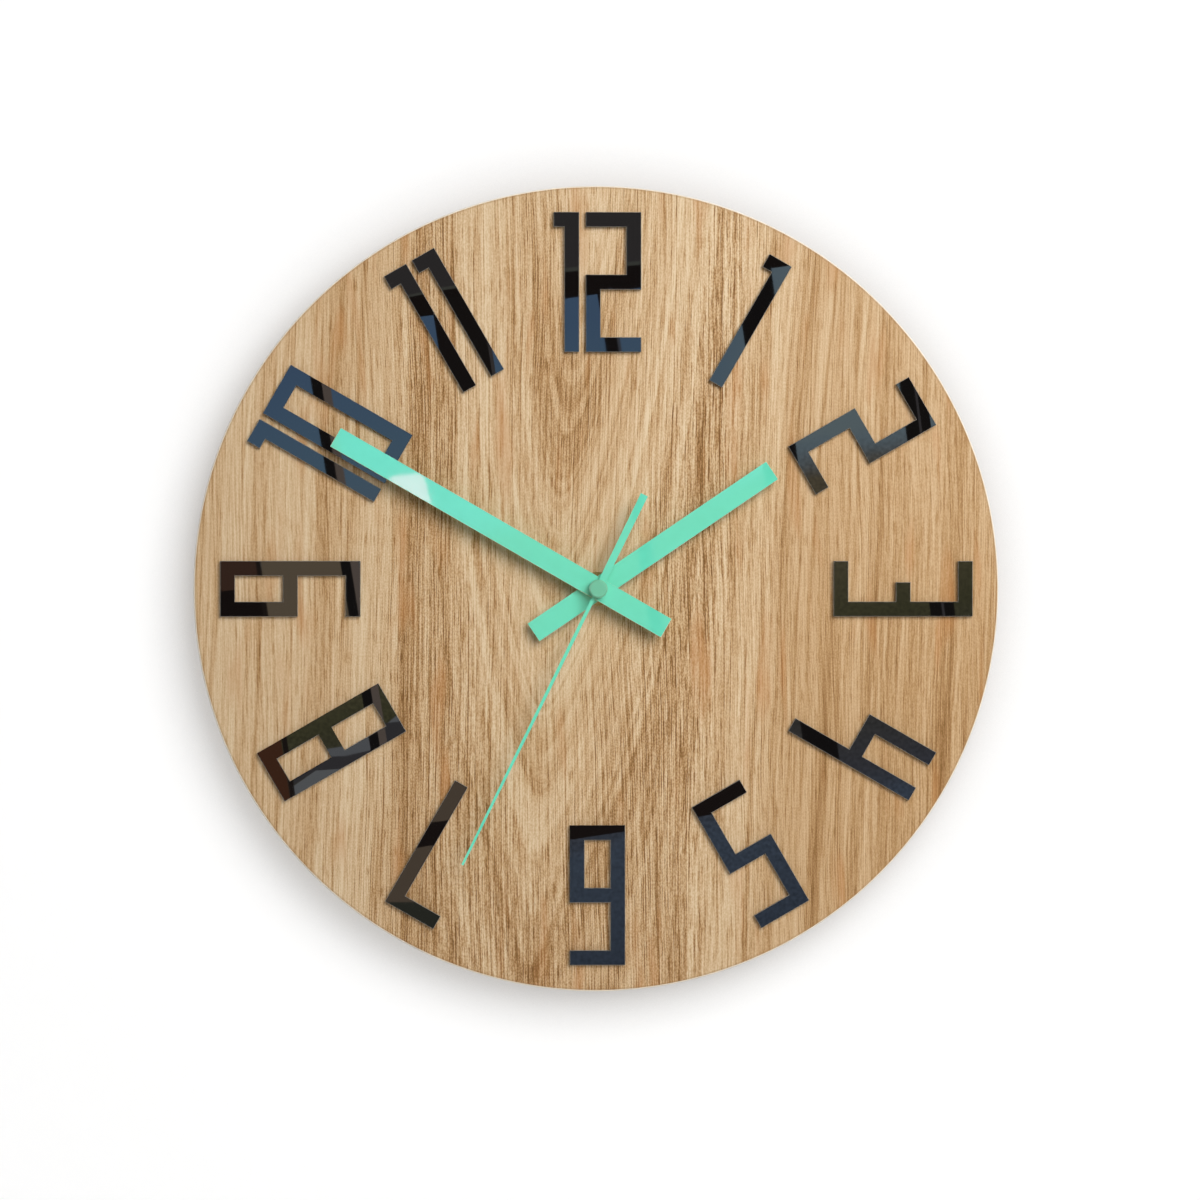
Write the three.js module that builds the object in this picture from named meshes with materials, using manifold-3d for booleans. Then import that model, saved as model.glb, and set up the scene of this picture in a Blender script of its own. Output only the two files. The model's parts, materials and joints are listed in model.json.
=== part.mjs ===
// A wooden wall clock: a round oak dial with glossy black numerals, three mint-green hands on one axis,
// and the battery quartz movement that hangs behind the dial and turns them.
import * as THREE from "three";
import { mergeVertices } from "three/addons/utils/BufferGeometryUtils.js";
import Module from "manifold-3d";

const wasm = await Module();
wasm.setup();

// Lengths are millimetres and angles are degrees. While it is built, the clock lies on its back:
// x runs right, y runs up the dial, and h runs from the wall (h = 0) towards the viewer.
// The axis of the hands is x = 0, y = 0. The last lines stand the clock up against the wall.

// Oak dial
const DISC_DIAMETER = 330;
const DISC_THICKNESS = 4;
const DISC_EDGE_RADIUS = 1.1;

// Numerals: block figures of one stroke width, cut from black sheet
const NUMERAL_EDGE_MARGIN = 10.95;
const NUMERAL_HEIGHT = 57.3;
const NUMERAL_WIDTH = 22.8;
const NUMERAL_STROKE = 6.15;
const NUMERAL_THICKNESS = 2;
const NUMERAL_FLAG_LENGTH = 4.4;
const NUMERAL_DIGIT_GAP = 2.6;
const NUMERAL_THREE_STUB = 14.1;
const NUMERAL_TEN_SHIFT = 1.4;
const HOURS = 12;

// Hands
const HAND_WIDTH = 8.75;
const HAND_THICKNESS = 1;
const HAND_COLLAR_DEPTH = 0.4;
const HAND_COLLAR_WALL = 1;
const MINUTE_HAND_REACH = 123.4;
const MINUTE_HAND_TAIL = 32.2;
const HOUR_HAND_REACH = 86.2;
const HOUR_HAND_TAIL = 31.7;
const SECOND_HAND_REACH = 125.2;
const SECOND_HAND_TAIL = 42.7;
const SECOND_HAND_THICKNESS = 0.6;
const SECOND_HAND_HUB_DIAMETER = 6.4;
const SECOND_POINTER_ROOT_WIDTH = 1.5;
const SECOND_POINTER_TIP_WIDTH = 1;
const SECOND_TAIL_ROOT_WIDTH = 2.8;
const SECOND_TAIL_END_WIDTH = 3.15;
const CAP_DIAMETER = 7.6;
const CAP_HEIGHT = 3;
const CAP_CHAMFER = 0.65;
const CAP_COLLAR_WALL = 0.45;

// Where the hands point at rest, clockwise from 12
const MINUTE_HAND_ANGLE = 300;
const HOUR_HAND_ANGLE = 55.85;
const SECOND_HAND_ANGLE = 206.2;

// Coaxial tubes that carry the hands, from the inside out
const SECOND_ARBOR_RADIUS = 0.5;
const MINUTE_PIPE_WALL = 0.9;
const HOUR_PIPE_WALL = 0.8;
const BUSH_WALL = 1.2;
const TUBE_GAP = 0.15;
const PIPE_GAP = 0.2;
const SEAT_GAP = 0.05;
const THREAD_GAP = 0.1;

// What stands between the dial and the hands, counted outwards from the case
const RUBBER_WASHER_THICKNESS = 1;
const RUBBER_WASHER_DIAMETER = 18;
const BRASS_WASHER_THICKNESS = 0.5;
const BRASS_WASHER_DIAMETER = 13.8;
const NUT_THICKNESS = 2.5;
const NUT_ACROSS_FLATS = 11;
const BUSH_STAND_OUT = 0.5;
const BUSH_FLANGE_WIDTH = 1.25;
const DISC_HOLE_GAP = 0.25;
const HAND_LEVEL_GAP = 1.6;
const PIPE_STAND_OUT = 0.3;

// Movement case
const CASE_WIDTH = 56;
const CASE_WALL = 1.4;
const CASE_CORNER_RADIUS = 3;
const BAY_WALL = 1.2;
const BAY_SIDE_SLOT = 1.2;
const POST_RADIUS = 1.2;
const PEG_RADIUS = 0.6;
const PEG_GAP = 0.15;
const SNAP_ARM_WIDTH = 7;
const SNAP_ARM_THICKNESS = 1.2;
const SNAP_CATCH_DEPTH = 0.7;
const SNAP_GAP = 0.25;

// Hanging loop on top of the case
const LOOP_WIDTH = 18;
const LOOP_HEIGHT = 11;
const LOOP_THICKNESS = 3;
const LOOP_CORNER_RADIUS = 4.5;
const LOOP_HOLE_WIDTH = 9;
const LOOP_HOLE_HEIGHT = 5.6;
const LOOP_HOLE_FOOT = 2;
const LOOP_HOLE_CORNER_RADIUS = 1.4;

// Cell and its contacts
const CELL_DIAMETER = 14.2;
const CELL_LENGTH = 50.5;
const CELL_NUB_DIAMETER = 5.5;
const CELL_NUB_LENGTH = 1;
const CELL_EDGE_RADIUS = 0.5;
const CELL_SIDE_GAP = 0.4;
const CELL_REAR_GAP = 0.6;
const CELL_FRONT_GAP = 0.3;
const CONTACT_THICKNESS = 0.4;
const CONTACT_WALL_GAP = 0.3;
const CONTACT_CELL_GAP = 0.3;
const CONTACT_PLATE_WIDTH = 10;
const CONTACT_STRIP_WIDTH = 2;
const CONTACT_STRIP_REACH = 24;
const POSITIVE_DIMPLE_RADIUS = 2;
const NEGATIVE_DIMPLE_RADIUS = 3.5;

// Gear train: one arbor distance drives it, and the others are shares of that
const ARBOR_DISTANCE = 8.4;
const THIRD_DISTANCE_SHARE = 0.953;
const INTERMEDIATE_DISTANCE_SHARE = 0.905;
const ROTOR_DISTANCE_SHARE = 0.857;
const THIRD_ARBOR_ANGLE = 135;
const INTERMEDIATE_ARBOR_ANGLE = 45;
const ROTOR_ARBOR_ANGLE = 20;
const MOTION_ARBOR_ANGLE = -15;
const KNOB_ARBOR_ANGLE = -10;
const ARBOR_RADIUS = 0.5;
const PIVOT_GAP = 0.15;
const PIVOT_DEPTH = 0.4;
const PIVOT_BOSS_RADIUS = 1.2;
const WHEEL_HUB_RADIUS = 1.3;

// Tooth counts
const SECOND_PINION_TEETH = 8;
const THIRD_WHEEL_TEETH = 64;
const THIRD_PINION_TEETH = 8;
const CENTRE_WHEEL_TEETH = 60;
const INTERMEDIATE_PINION_TEETH = 8;
const SECOND_WHEEL_TEETH = 48;
const ROTOR_PINION_TEETH = 8;
const INTERMEDIATE_WHEEL_TEETH = 40;
const CANNON_PINION_TEETH = 12;
const MOTION_WHEEL_TEETH = 36;
const MOTION_PINION_TEETH = 10;
const HOUR_WHEEL_TEETH = 40;
const KNOB_PINION_TEETH = 12;

// Tooth form: heights are shares of the module, widths are shares of the tooth pitch
const ADDENDUM_SHARE = 0.75;
const DEDENDUM_SHARE = 1.05;
const TOOTH_TIP_SHARE = 0.2;
const TOOTH_ROOT_SHARE = 0.5;

// Setting knob
const KNOB_RADIUS = 4.9;
const KNOB_RIBS = 18;
const KNOB_RIB_DEPTH = 0.35;
const KNOB_RIB_SHARES = [0, 0.5, 0.6, 0.9];
const KNOB_SHAFT_RADIUS = 1;
const KNOB_CUP_WALL = 1.1;
const KNOB_GAP = 0.4;

// Stepping motor
const MAGNET_RADIUS = 3;
const MAGNET_GAP = 0.35;
const STATOR_RING_WIDTH = 1.95;
const STATOR_LEG_WIDTH = 2.6;
const STATOR_BAR_WIDTH = 3.6;
const STATOR_BAR_RISE = 0.6;
const COIL_LENGTH = 14.2;
const COIL_GAP = 0.5;
const COIL_CORE_WIDTH = 3;
const COIL_END_GAP = 0.4;
const BOBBIN_GAP = 0.3;
const BOBBIN_WALL = 0.6;
const BOBBIN_FLANGE_THICKNESS = 0.8;
const BOBBIN_FLANGE_WIDTH = 1.3;
const WINDING_GAP = 0.1;
const WINDING_INSET = 0.3;

// Bridge that carries the inner pivots
const BRIDGE_LEFT = 16;
const BRIDGE_RIGHT = 20.5;
const BRIDGE_BOTTOM = 8.5;
const BRIDGE_TOP = 12.4;
const BRIDGE_POST_INSET = 2.4;
const BRIDGE_CORNER_RADIUS = 2;

// Circuit board and what is soldered to it
const BOARD_HEIGHT = 4.8;
const BOARD_SIDE_GAP = 0.4;
const BOARD_POST_INSET = 4.6;
const CHIP_LENGTH = 5;
const CHIP_WIDTH = 3.6;
const CHIP_HEIGHT = 1.1;
const CHIP_PLACE = -9;
const CRYSTAL_RADIUS = 1;
const CRYSTAL_LENGTH = 6;
const CRYSTAL_PLACE = -1.5;

// Levels inside the case, from the rear wall's inner face (0) to the front wall's inner face (1)
const LEVEL_SHARES = {
  rearBoss: [0, 0.058],
  rotorPinion: [0.088, 0.175],
  intermediateWheel: [0.102, 0.161],
  knobCupFloor: [0.117, 0.197],
  intermediatePinion: [0.219, 0.299],
  secondWheel: [0.234, 0.292],
  rotorMagnet: [0.219, 0.438],
  stator: [0.307, 0.35],
  coilCore: [0.35, 0.394],
  secondPinion: [0.365, 0.453],
  thirdWheel: [0.38, 0.438],
  bridge: [0.467, 0.54],
  thirdPinion: [0.555, 0.657],
  centreWheel: [0.569, 0.642],
  cannonPinion: [0.672, 0.788],
  motionWheel: [0.686, 0.759],
  board: [0.672, 0.73],
  motionPinion: [0.803, 0.905],
  hourWheel: [0.818, 0.891],
  bushFlange: [0.927, 1],
  frontBoss: [0.942, 1],
};

// Numbers of flats on round shapes
const DISC_SIDES = 128;
const NUT_SIDES = 6;
const TUBE_SIDES = 24;
const PIN_SIDES = 12;
const CORNER_STEPS = 4;

// How far a cut runs past the piece that it cuts
const CUT_OVERRUN = 1;

// Heights of the stack, worked out from the wall outwards
const ROOM_REAR = CASE_WALL;
const ROOM_FRONT = CELL_REAR_GAP + CELL_DIAMETER + CELL_FRONT_GAP;
const ROOM_DEPTH = ROOM_FRONT - ROOM_REAR;
const CASE_FRONT = ROOM_FRONT + CASE_WALL;
const DISC_REAR = CASE_FRONT + RUBBER_WASHER_THICKNESS;
const DISC_FRONT = DISC_REAR + DISC_THICKNESS;
const NUT_REAR = DISC_FRONT + BRASS_WASHER_THICKNESS;
const NUT_FRONT = NUT_REAR + NUT_THICKNESS;
const BUSH_FRONT = NUT_FRONT + BUSH_STAND_OUT;
const HOUR_HAND_REAR = BUSH_FRONT + PIPE_GAP + HAND_COLLAR_DEPTH;
const HOUR_HAND_FRONT = HOUR_HAND_REAR + HAND_THICKNESS;
const MINUTE_HAND_REAR = HOUR_HAND_FRONT + HAND_LEVEL_GAP + PIPE_GAP;
const MINUTE_HAND_FRONT = MINUTE_HAND_REAR + HAND_THICKNESS;
const SECOND_HAND_REAR = MINUTE_HAND_FRONT + HAND_LEVEL_GAP;
const SECOND_HAND_FRONT = SECOND_HAND_REAR + SECOND_HAND_THICKNESS;

// Where the numerals' feet stand on the dial
const NUMERAL_FOOT_RADIUS = DISC_DIAMETER / 2 - NUMERAL_EDGE_MARGIN - NUMERAL_HEIGHT;

// Radii of the coaxial tubes
const MINUTE_PIPE_BORE = SECOND_ARBOR_RADIUS + TUBE_GAP;
const MINUTE_PIPE_RADIUS = MINUTE_PIPE_BORE + MINUTE_PIPE_WALL;
const HOUR_PIPE_BORE = MINUTE_PIPE_RADIUS + PIPE_GAP;
const HOUR_PIPE_RADIUS = HOUR_PIPE_BORE + HOUR_PIPE_WALL;
const BUSH_BORE = HOUR_PIPE_RADIUS + PIPE_GAP;
const BUSH_RADIUS = BUSH_BORE + BUSH_WALL;
const DISC_HOLE_RADIUS = BUSH_RADIUS + DISC_HOLE_GAP;
const CAP_COLLAR_BORE = SECOND_ARBOR_RADIUS + SEAT_GAP;
const CAP_COLLAR_RADIUS = CAP_COLLAR_BORE + CAP_COLLAR_WALL;

// Case outline
const CASE_HALF = CASE_WIDTH / 2;
const ROOM_HALF = CASE_HALF - CASE_WALL;
const ROOM_CORNER_RADIUS = CASE_CORNER_RADIUS - CASE_WALL;
const BAY_TOP = -ROOM_HALF + CELL_DIAMETER + 2 * CELL_SIDE_GAP;
const CELL_Y = -ROOM_HALF + CELL_SIDE_GAP + CELL_DIAMETER / 2;
const CELL_H = CELL_REAR_GAP + CELL_DIAMETER / 2;

// Places of the arbors
const THIRD_DISTANCE = ARBOR_DISTANCE * THIRD_DISTANCE_SHARE;
const INTERMEDIATE_DISTANCE = ARBOR_DISTANCE * INTERMEDIATE_DISTANCE_SHARE;
const ROTOR_DISTANCE = ARBOR_DISTANCE * ROTOR_DISTANCE_SHARE;
const CENTRE = [0, 0];
const THIRD = stepFrom(CENTRE, THIRD_DISTANCE, THIRD_ARBOR_ANGLE);
const INTERMEDIATE = stepFrom(CENTRE, INTERMEDIATE_DISTANCE, INTERMEDIATE_ARBOR_ANGLE);
const ROTOR = stepFrom(INTERMEDIATE, ROTOR_DISTANCE, ROTOR_ARBOR_ANGLE);
const MOTION = stepFrom(CENTRE, ARBOR_DISTANCE, MOTION_ARBOR_ANGLE);
const KNOB = stepFrom(MOTION, ARBOR_DISTANCE, KNOB_ARBOR_ANGLE);
const POLE_RADIUS = MAGNET_RADIUS + MAGNET_GAP + STATOR_RING_WIDTH;

// Materials, one for each finish
const OAK = finish("#c49f73", 0.6, 0);
const BLACK_ACRYLIC = finish("#0b0a0b", 0.06, 0);
const MINT = finish("#76dcbb", 0.25, 0);
const MINT_CAP = finish("#73c2a1", 0.3, 0);
const CASE_PLASTIC = finish("#1b1b1c", 0.5, 0);
const GEAR_PLASTIC = finish("#e8e4d8", 0.45, 0);
const BRIDGE_PLASTIC = finish("#3a3d40", 0.5, 0);
const BRASS = finish("#c8a55a", 0.3, 1);
const STEEL = finish("#b9bcc0", 0.3, 1);
const MAGNET = finish("#4b4d52", 0.4, 1);
const RUBBER = finish("#18181a", 0.85, 0);
const CELL_SLEEVE = finish("#39424f", 0.35, 0);
const BOARD = finish("#2f6b43", 0.5, 0);
const RESIN = finish("#101010", 0.4, 0);
const COPPER = finish("#b3683c", 0.35, 1);

function finish(color, roughness, metalness) {
  return new THREE.MeshStandardMaterial({ color, roughness, metalness });
}

function stepFrom([x, y], distance, angle) {
  const turn = THREE.MathUtils.degToRad(angle);
  return [x + distance * Math.cos(turn), y + distance * Math.sin(turn)];
}

function level(name) {
  return LEVEL_SHARES[name].map((share) => ROOM_REAR + ROOM_DEPTH * share);
}

// Turns a closed geometry into a solid that can be joined and cut.
function solidOf(geometry) {
  const bare = new THREE.BufferGeometry();
  bare.setAttribute("position", geometry.getAttribute("position"));
  if (geometry.index) bare.setIndex(geometry.index);
  const merged = mergeVertices(bare);
  const triangles = [];
  for (let i = 0; i < merged.index.count; i += 3) {
    const [a, b, c] = [0, 1, 2].map((k) => merged.index.getX(i + k));
    if (a !== b && b !== c && c !== a) triangles.push(a, b, c);
  }
  return new wasm.Manifold(
    new wasm.Mesh({
      numProp: 3,
      vertProperties: merged.attributes.position.array,
      triVerts: new Uint32Array(triangles),
    }),
  );
}

function geometryOf(solid) {
  const mesh = solid.getMesh();
  const geometry = new THREE.BufferGeometry();
  geometry.setAttribute("position", new THREE.BufferAttribute(mesh.vertProperties, mesh.numProp));
  geometry.setIndex(new THREE.BufferAttribute(mesh.triVerts, 1));
  const flat = geometry.toNonIndexed();
  flat.computeVertexNormals();
  return flat;
}

function join(...solids) {
  return solids.reduce((whole, next) => whole.add(next));
}

function cut(solid, ...tools) {
  return tools.reduce((left, tool) => left.subtract(tool), solid);
}

// A flat outline in x and y, given a thickness from one height to another.
function plate(shape, low, high) {
  const geometry = new THREE.ExtrudeGeometry(shape, {
    depth: high - low,
    bevelEnabled: false,
    curveSegments: CORNER_STEPS,
  });
  return solidOf(geometry.translate(0, 0, low));
}

// A profile of [radius, height] points turned about the line through a place.
function turned(profile, [x, y] = CENTRE, sides = TUBE_SIDES) {
  const points = profile.map(([radius, height]) => new THREE.Vector2(radius, height));
  const geometry = new THREE.LatheGeometry(points, sides);
  return solidOf(geometry.rotateX(Math.PI / 2).translate(x, y, 0));
}

function rod(radius, low, high, place = CENTRE, sides = PIN_SIDES) {
  const profile = [
    [0, low],
    [radius, low],
    [radius, high],
    [0, high],
  ];
  return turned(profile, place, sides);
}

function ring(bore, radius, low, high, place = CENTRE, sides = TUBE_SIDES) {
  const profile = [
    [bore, low],
    [radius, low],
    [radius, high],
    [bore, high],
    [bore, low],
  ];
  return turned(profile, place, sides);
}

// A tool that drills right through a piece from one height to another.
function drill(radius, [low, high], place = CENTRE, sides = TUBE_SIDES) {
  return rod(radius, low - CUT_OVERRUN, high + CUT_OVERRUN, place, sides);
}

function box([x0, x1], [y0, y1], [h0, h1]) {
  const geometry = new THREE.BoxGeometry(x1 - x0, y1 - y0, h1 - h0);
  return solidOf(geometry.translate((x0 + x1) / 2, (y0 + y1) / 2, (h0 + h1) / 2));
}

// The span from near to far on one side of the middle: side is -1 for the left, 1 for the right.
function sided(side, near, far) {
  return side > 0 ? [near, far] : [-far, -near];
}

function outline(points) {
  return new THREE.Shape(points.map(([x, y]) => new THREE.Vector2(x, y)));
}

function roundedRectangle([x0, x1], [y0, y1], radius) {
  const shape = new THREE.Shape();
  shape.absarc(x1 - radius, y1 - radius, radius, 0, Math.PI / 2);
  shape.absarc(x0 + radius, y1 - radius, radius, Math.PI / 2, Math.PI);
  shape.absarc(x0 + radius, y0 + radius, radius, Math.PI, Math.PI * 1.5);
  shape.absarc(x1 - radius, y0 + radius, radius, Math.PI * 1.5, Math.PI * 2);
  return shape;
}

// Gears

function moduleOf(distance, teethA, teethB) {
  return (2 * distance) / (teethA + teethB);
}

// A toothed disc with straight flanks. Phase is the direction of one tooth's middle, in radians.
function gear({ teeth, module, phase, low, high, place }) {
  const pitch = (2 * Math.PI) / teeth;
  const pitchRadius = (module * teeth) / 2;
  const tip = pitchRadius + ADDENDUM_SHARE * module;
  const root = pitchRadius - DEDENDUM_SHARE * module;
  const halfTip = (TOOTH_TIP_SHARE * Math.PI * module) / 2 / tip;
  const halfRoot = (TOOTH_ROOT_SHARE * pitch) / 2;
  const points = [];
  for (let tooth = 0; tooth < teeth; tooth++) {
    const middle = phase + tooth * pitch;
    points.push(polar(root, middle - halfRoot), polar(tip, middle - halfTip));
    points.push(polar(tip, middle + halfTip), polar(root, middle + halfRoot));
  }
  return plate(outline(points), low, high).translate([...place, 0]);
}

function polar(radius, angle) {
  return [radius * Math.cos(angle), radius * Math.sin(angle)];
}

// The phase that sets a gap of the next gear on a tooth of this one.
function meshPhase(phase, teeth, place, nextTeeth, nextPlace) {
  const towards = Math.atan2(nextPlace[1] - place[1], nextPlace[0] - place[0]);
  const gapMiddle = towards + Math.PI - ((phase - towards) * teeth) / nextTeeth;
  return gapMiddle + Math.PI / nextTeeth;
}

// Numerals. Each digit is a set of bars in a box with its lower left corner at the origin.

const BARS = {
  top: ([x0, x1], height, stroke) => [[x0, x1], [height - stroke, height]],
  middle: ([x0, x1], height, stroke) => [[x0, x1], [(height - stroke) / 2, (height + stroke) / 2]],
  bottom: ([x0, x1], height, stroke) => [[x0, x1], [0, stroke]],
  left: ([x0], height, stroke) => [[x0, x0 + stroke], [0, height]],
  right: ([, x1], height, stroke) => [[x1 - stroke, x1], [0, height]],
  leftUpper: ([x0], height, stroke) => [[x0, x0 + stroke], [(height - stroke) / 2, height]],
  leftLower: ([x0], height, stroke) => [[x0, x0 + stroke], [0, (height + stroke) / 2]],
  rightUpper: ([, x1], height, stroke) => [[x1 - stroke, x1], [(height - stroke) / 2, height]],
  rightLower: ([, x1], height, stroke) => [[x1 - stroke, x1], [0, (height + stroke) / 2]],
  stub: ([, x1], height, stroke) => [
    [x1 - NUMERAL_THREE_STUB, x1],
    [(height - stroke) / 2, (height + stroke) / 2],
  ],
};

const DIGIT_BARS = {
  0: ["top", "bottom", "left", "right"],
  1: ["top", "right"],
  2: ["top", "rightUpper", "middle", "leftLower", "bottom"],
  3: ["top", "right", "stub", "bottom"],
  4: ["leftUpper", "middle", "right"],
  5: ["top", "leftUpper", "middle", "rightLower", "bottom"],
  6: ["top", "left", "middle", "rightLower", "bottom"],
  7: ["top", "right"],
  8: ["top", "middle", "bottom", "left", "right"],
  9: ["top", "leftUpper", "middle", "right", "bottom"],
};

function digitWidth(digit) {
  return digit === 1 ? NUMERAL_FLAG_LENGTH + NUMERAL_STROKE : NUMERAL_WIDTH;
}

function digitSolid(digit, left) {
  const across = [left, left + digitWidth(digit)];
  const bars = DIGIT_BARS[digit].map((bar) => {
    const [xs, ys] = BARS[bar](across, NUMERAL_HEIGHT, NUMERAL_STROKE);
    return box(xs, ys, [DISC_FRONT, DISC_FRONT + NUMERAL_THICKNESS]);
  });
  return join(...bars).translate([0, NUMERAL_FOOT_RADIUS, 0]);
}

// The names and digits at each hour; the shift moves the figures sideways off the hour's line.
function numeralPlan(hour) {
  const pairs = {
    10: [["numeral_10_one", 1], ["numeral_10_zero", 0]],
    11: [["numeral_11_left", 1], ["numeral_11_right", 1]],
    12: [["numeral_12_one", 1], ["numeral_12_two", 2]],
  };
  const shifts = { 1: -NUMERAL_FLAG_LENGTH / 2, 10: -NUMERAL_TEN_SHIFT };
  return { digits: pairs[hour] ?? [[`numeral_${hour}`, hour]], shift: shifts[hour] ?? 0 };
}

function addNumerals(dial) {
  for (let hour = 1; hour <= HOURS; hour++) {
    const { digits, shift } = numeralPlan(hour);
    const widths = digits.map(([, digit]) => digitWidth(digit));
    const gaps = NUMERAL_DIGIT_GAP * (digits.length - 1);
    const total = widths.reduce((sum, width) => sum + width, gaps);
    const figures = new THREE.Group();
    figures.rotation.z = (-2 * Math.PI * hour) / HOURS;
    let left = shift - total / 2;
    digits.forEach(([name, digit], i) => {
      figures.add(piece(name, digitSolid(digit, left), BLACK_ACRYLIC));
      left += widths[i] + NUMERAL_DIGIT_GAP;
    });
    dial.add(figures);
  }
}

// Dial and the stack that clamps the movement to it

function discSolid() {
  const radius = DISC_DIAMETER / 2;
  const ease = DISC_EDGE_RADIUS;
  const edge = [0, 1, 2].map((step) => {
    const turn = (step * Math.PI) / 4;
    return [radius - ease + ease * Math.cos(turn), DISC_FRONT - ease + ease * Math.sin(turn)];
  });
  const profile = [
    [DISC_HOLE_RADIUS, DISC_REAR],
    [radius - ease / 2, DISC_REAR],
    [radius, DISC_REAR + ease / 2],
    ...edge,
    [DISC_HOLE_RADIUS, DISC_FRONT],
    [DISC_HOLE_RADIUS, DISC_REAR],
  ];
  return turned(profile, CENTRE, DISC_SIDES);
}

function nutSolid() {
  const corner = NUT_ACROSS_FLATS / Math.sqrt(3);
  const blank = rod(corner, NUT_REAR, NUT_FRONT, CENTRE, NUT_SIDES);
  return cut(blank, drill(BUSH_RADIUS + THREAD_GAP, [NUT_REAR, NUT_FRONT]));
}

function bushSolid() {
  const [flangeRear] = level("bushFlange");
  const profile = [
    [BUSH_BORE, flangeRear],
    [BUSH_RADIUS + BUSH_FLANGE_WIDTH, flangeRear],
    [BUSH_RADIUS + BUSH_FLANGE_WIDTH, ROOM_FRONT],
    [BUSH_RADIUS, ROOM_FRONT],
    [BUSH_RADIUS, BUSH_FRONT],
    [BUSH_BORE, BUSH_FRONT],
    [BUSH_BORE, flangeRear],
  ];
  return turned(profile);
}

// Hands, drawn pointing to 12

function barHand(reach, tail, pipeRadius, rear) {
  const bore = pipeRadius + SEAT_GAP;
  const front = rear + HAND_THICKNESS;
  const blade = box([-HAND_WIDTH / 2, HAND_WIDTH / 2], [-tail, reach], [rear, front]);
  const collar = rod(bore + HAND_COLLAR_WALL, rear - HAND_COLLAR_DEPTH, front, CENTRE, TUBE_SIDES);
  return cut(join(blade, collar), drill(bore, [rear - HAND_COLLAR_DEPTH, front]));
}

function secondHandSolid() {
  const pointer = outline([
    [-SECOND_POINTER_ROOT_WIDTH / 2, 0],
    [SECOND_POINTER_ROOT_WIDTH / 2, 0],
    [SECOND_POINTER_TIP_WIDTH / 2, SECOND_HAND_REACH],
    [-SECOND_POINTER_TIP_WIDTH / 2, SECOND_HAND_REACH],
  ]);
  const tail = outline([
    [-SECOND_TAIL_END_WIDTH / 2, -SECOND_HAND_TAIL],
    [SECOND_TAIL_END_WIDTH / 2, -SECOND_HAND_TAIL],
    [SECOND_TAIL_ROOT_WIDTH / 2, 0],
    [-SECOND_TAIL_ROOT_WIDTH / 2, 0],
  ]);
  const [rear, front] = [SECOND_HAND_REAR, SECOND_HAND_FRONT];
  const hub = rod(SECOND_HAND_HUB_DIAMETER / 2, rear, front, CENTRE, TUBE_SIDES);
  const blades = [pointer, tail].map((shape) => plate(shape, rear, front));
  return cut(join(...blades, hub), drill(CAP_COLLAR_RADIUS + SEAT_GAP, [rear, front]));
}

function capSolid() {
  const rim = CAP_DIAMETER / 2;
  const top = SECOND_HAND_FRONT + CAP_HEIGHT;
  const collarRear = SECOND_HAND_REAR - HAND_COLLAR_DEPTH;
  const profile = [
    [CAP_COLLAR_BORE, collarRear],
    [CAP_COLLAR_RADIUS, collarRear],
    [CAP_COLLAR_RADIUS, SECOND_HAND_FRONT],
    [rim, SECOND_HAND_FRONT],
    [rim, top - CAP_CHAMFER],
    [rim - CAP_CHAMFER, top],
    [0, top],
    [0, secondArborFront() + SEAT_GAP],
    [CAP_COLLAR_BORE, secondArborFront() + SEAT_GAP],
    [CAP_COLLAR_BORE, collarRear],
  ];
  return turned(profile);
}

function secondArborFront() {
  return SECOND_HAND_FRONT + CAP_HEIGHT / 2;
}

// Case

function pivotHole(place, low, high) {
  return rod(ARBOR_RADIUS + PIVOT_GAP, low, high, place);
}

function rearPivot() {
  return ROOM_REAR - PIVOT_DEPTH + PIVOT_GAP;
}

function frontPivot() {
  return ROOM_FRONT + PIVOT_DEPTH - PIVOT_GAP;
}

function bridgePosts() {
  return [
    [-BRIDGE_LEFT + BRIDGE_POST_INSET, BRIDGE_TOP - BRIDGE_POST_INSET],
    [-BRIDGE_LEFT + BRIDGE_POST_INSET, -BRIDGE_BOTTOM + BRIDGE_POST_INSET],
    [BRIDGE_RIGHT - BRIDGE_POST_INSET, BRIDGE_TOP - BRIDGE_POST_INSET],
  ];
}

// A snap arm runs back from the front plate beside the case and hooks behind a catch on its side.
function snapArm(side) {
  const catchRear = ROOM_FRONT / 2;
  const inner = CASE_HALF + SNAP_GAP;
  const points = [
    [inner - SNAP_GAP - CASE_WALL, CASE_FRONT],
    [inner - SNAP_GAP - CASE_WALL, ROOM_FRONT],
    [inner, ROOM_FRONT],
    [inner, catchRear - SNAP_GAP],
    [inner - SNAP_GAP / 2, catchRear - SNAP_GAP],
    [inner, catchRear - SNAP_GAP - SNAP_CATCH_DEPTH * 2],
    [inner + SNAP_ARM_THICKNESS + SNAP_CATCH_DEPTH, catchRear - SNAP_GAP - SNAP_CATCH_DEPTH * 2],
    [inner + SNAP_ARM_THICKNESS + SNAP_CATCH_DEPTH, CASE_FRONT],
  ];
  const placed = points.map(([x, h]) => [side * x, h]);
  if (side > 0) placed.reverse();
  return plate(outline(placed), -SNAP_ARM_WIDTH / 2, SNAP_ARM_WIDTH / 2).rotate([90, 0, 0]);
}

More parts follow.
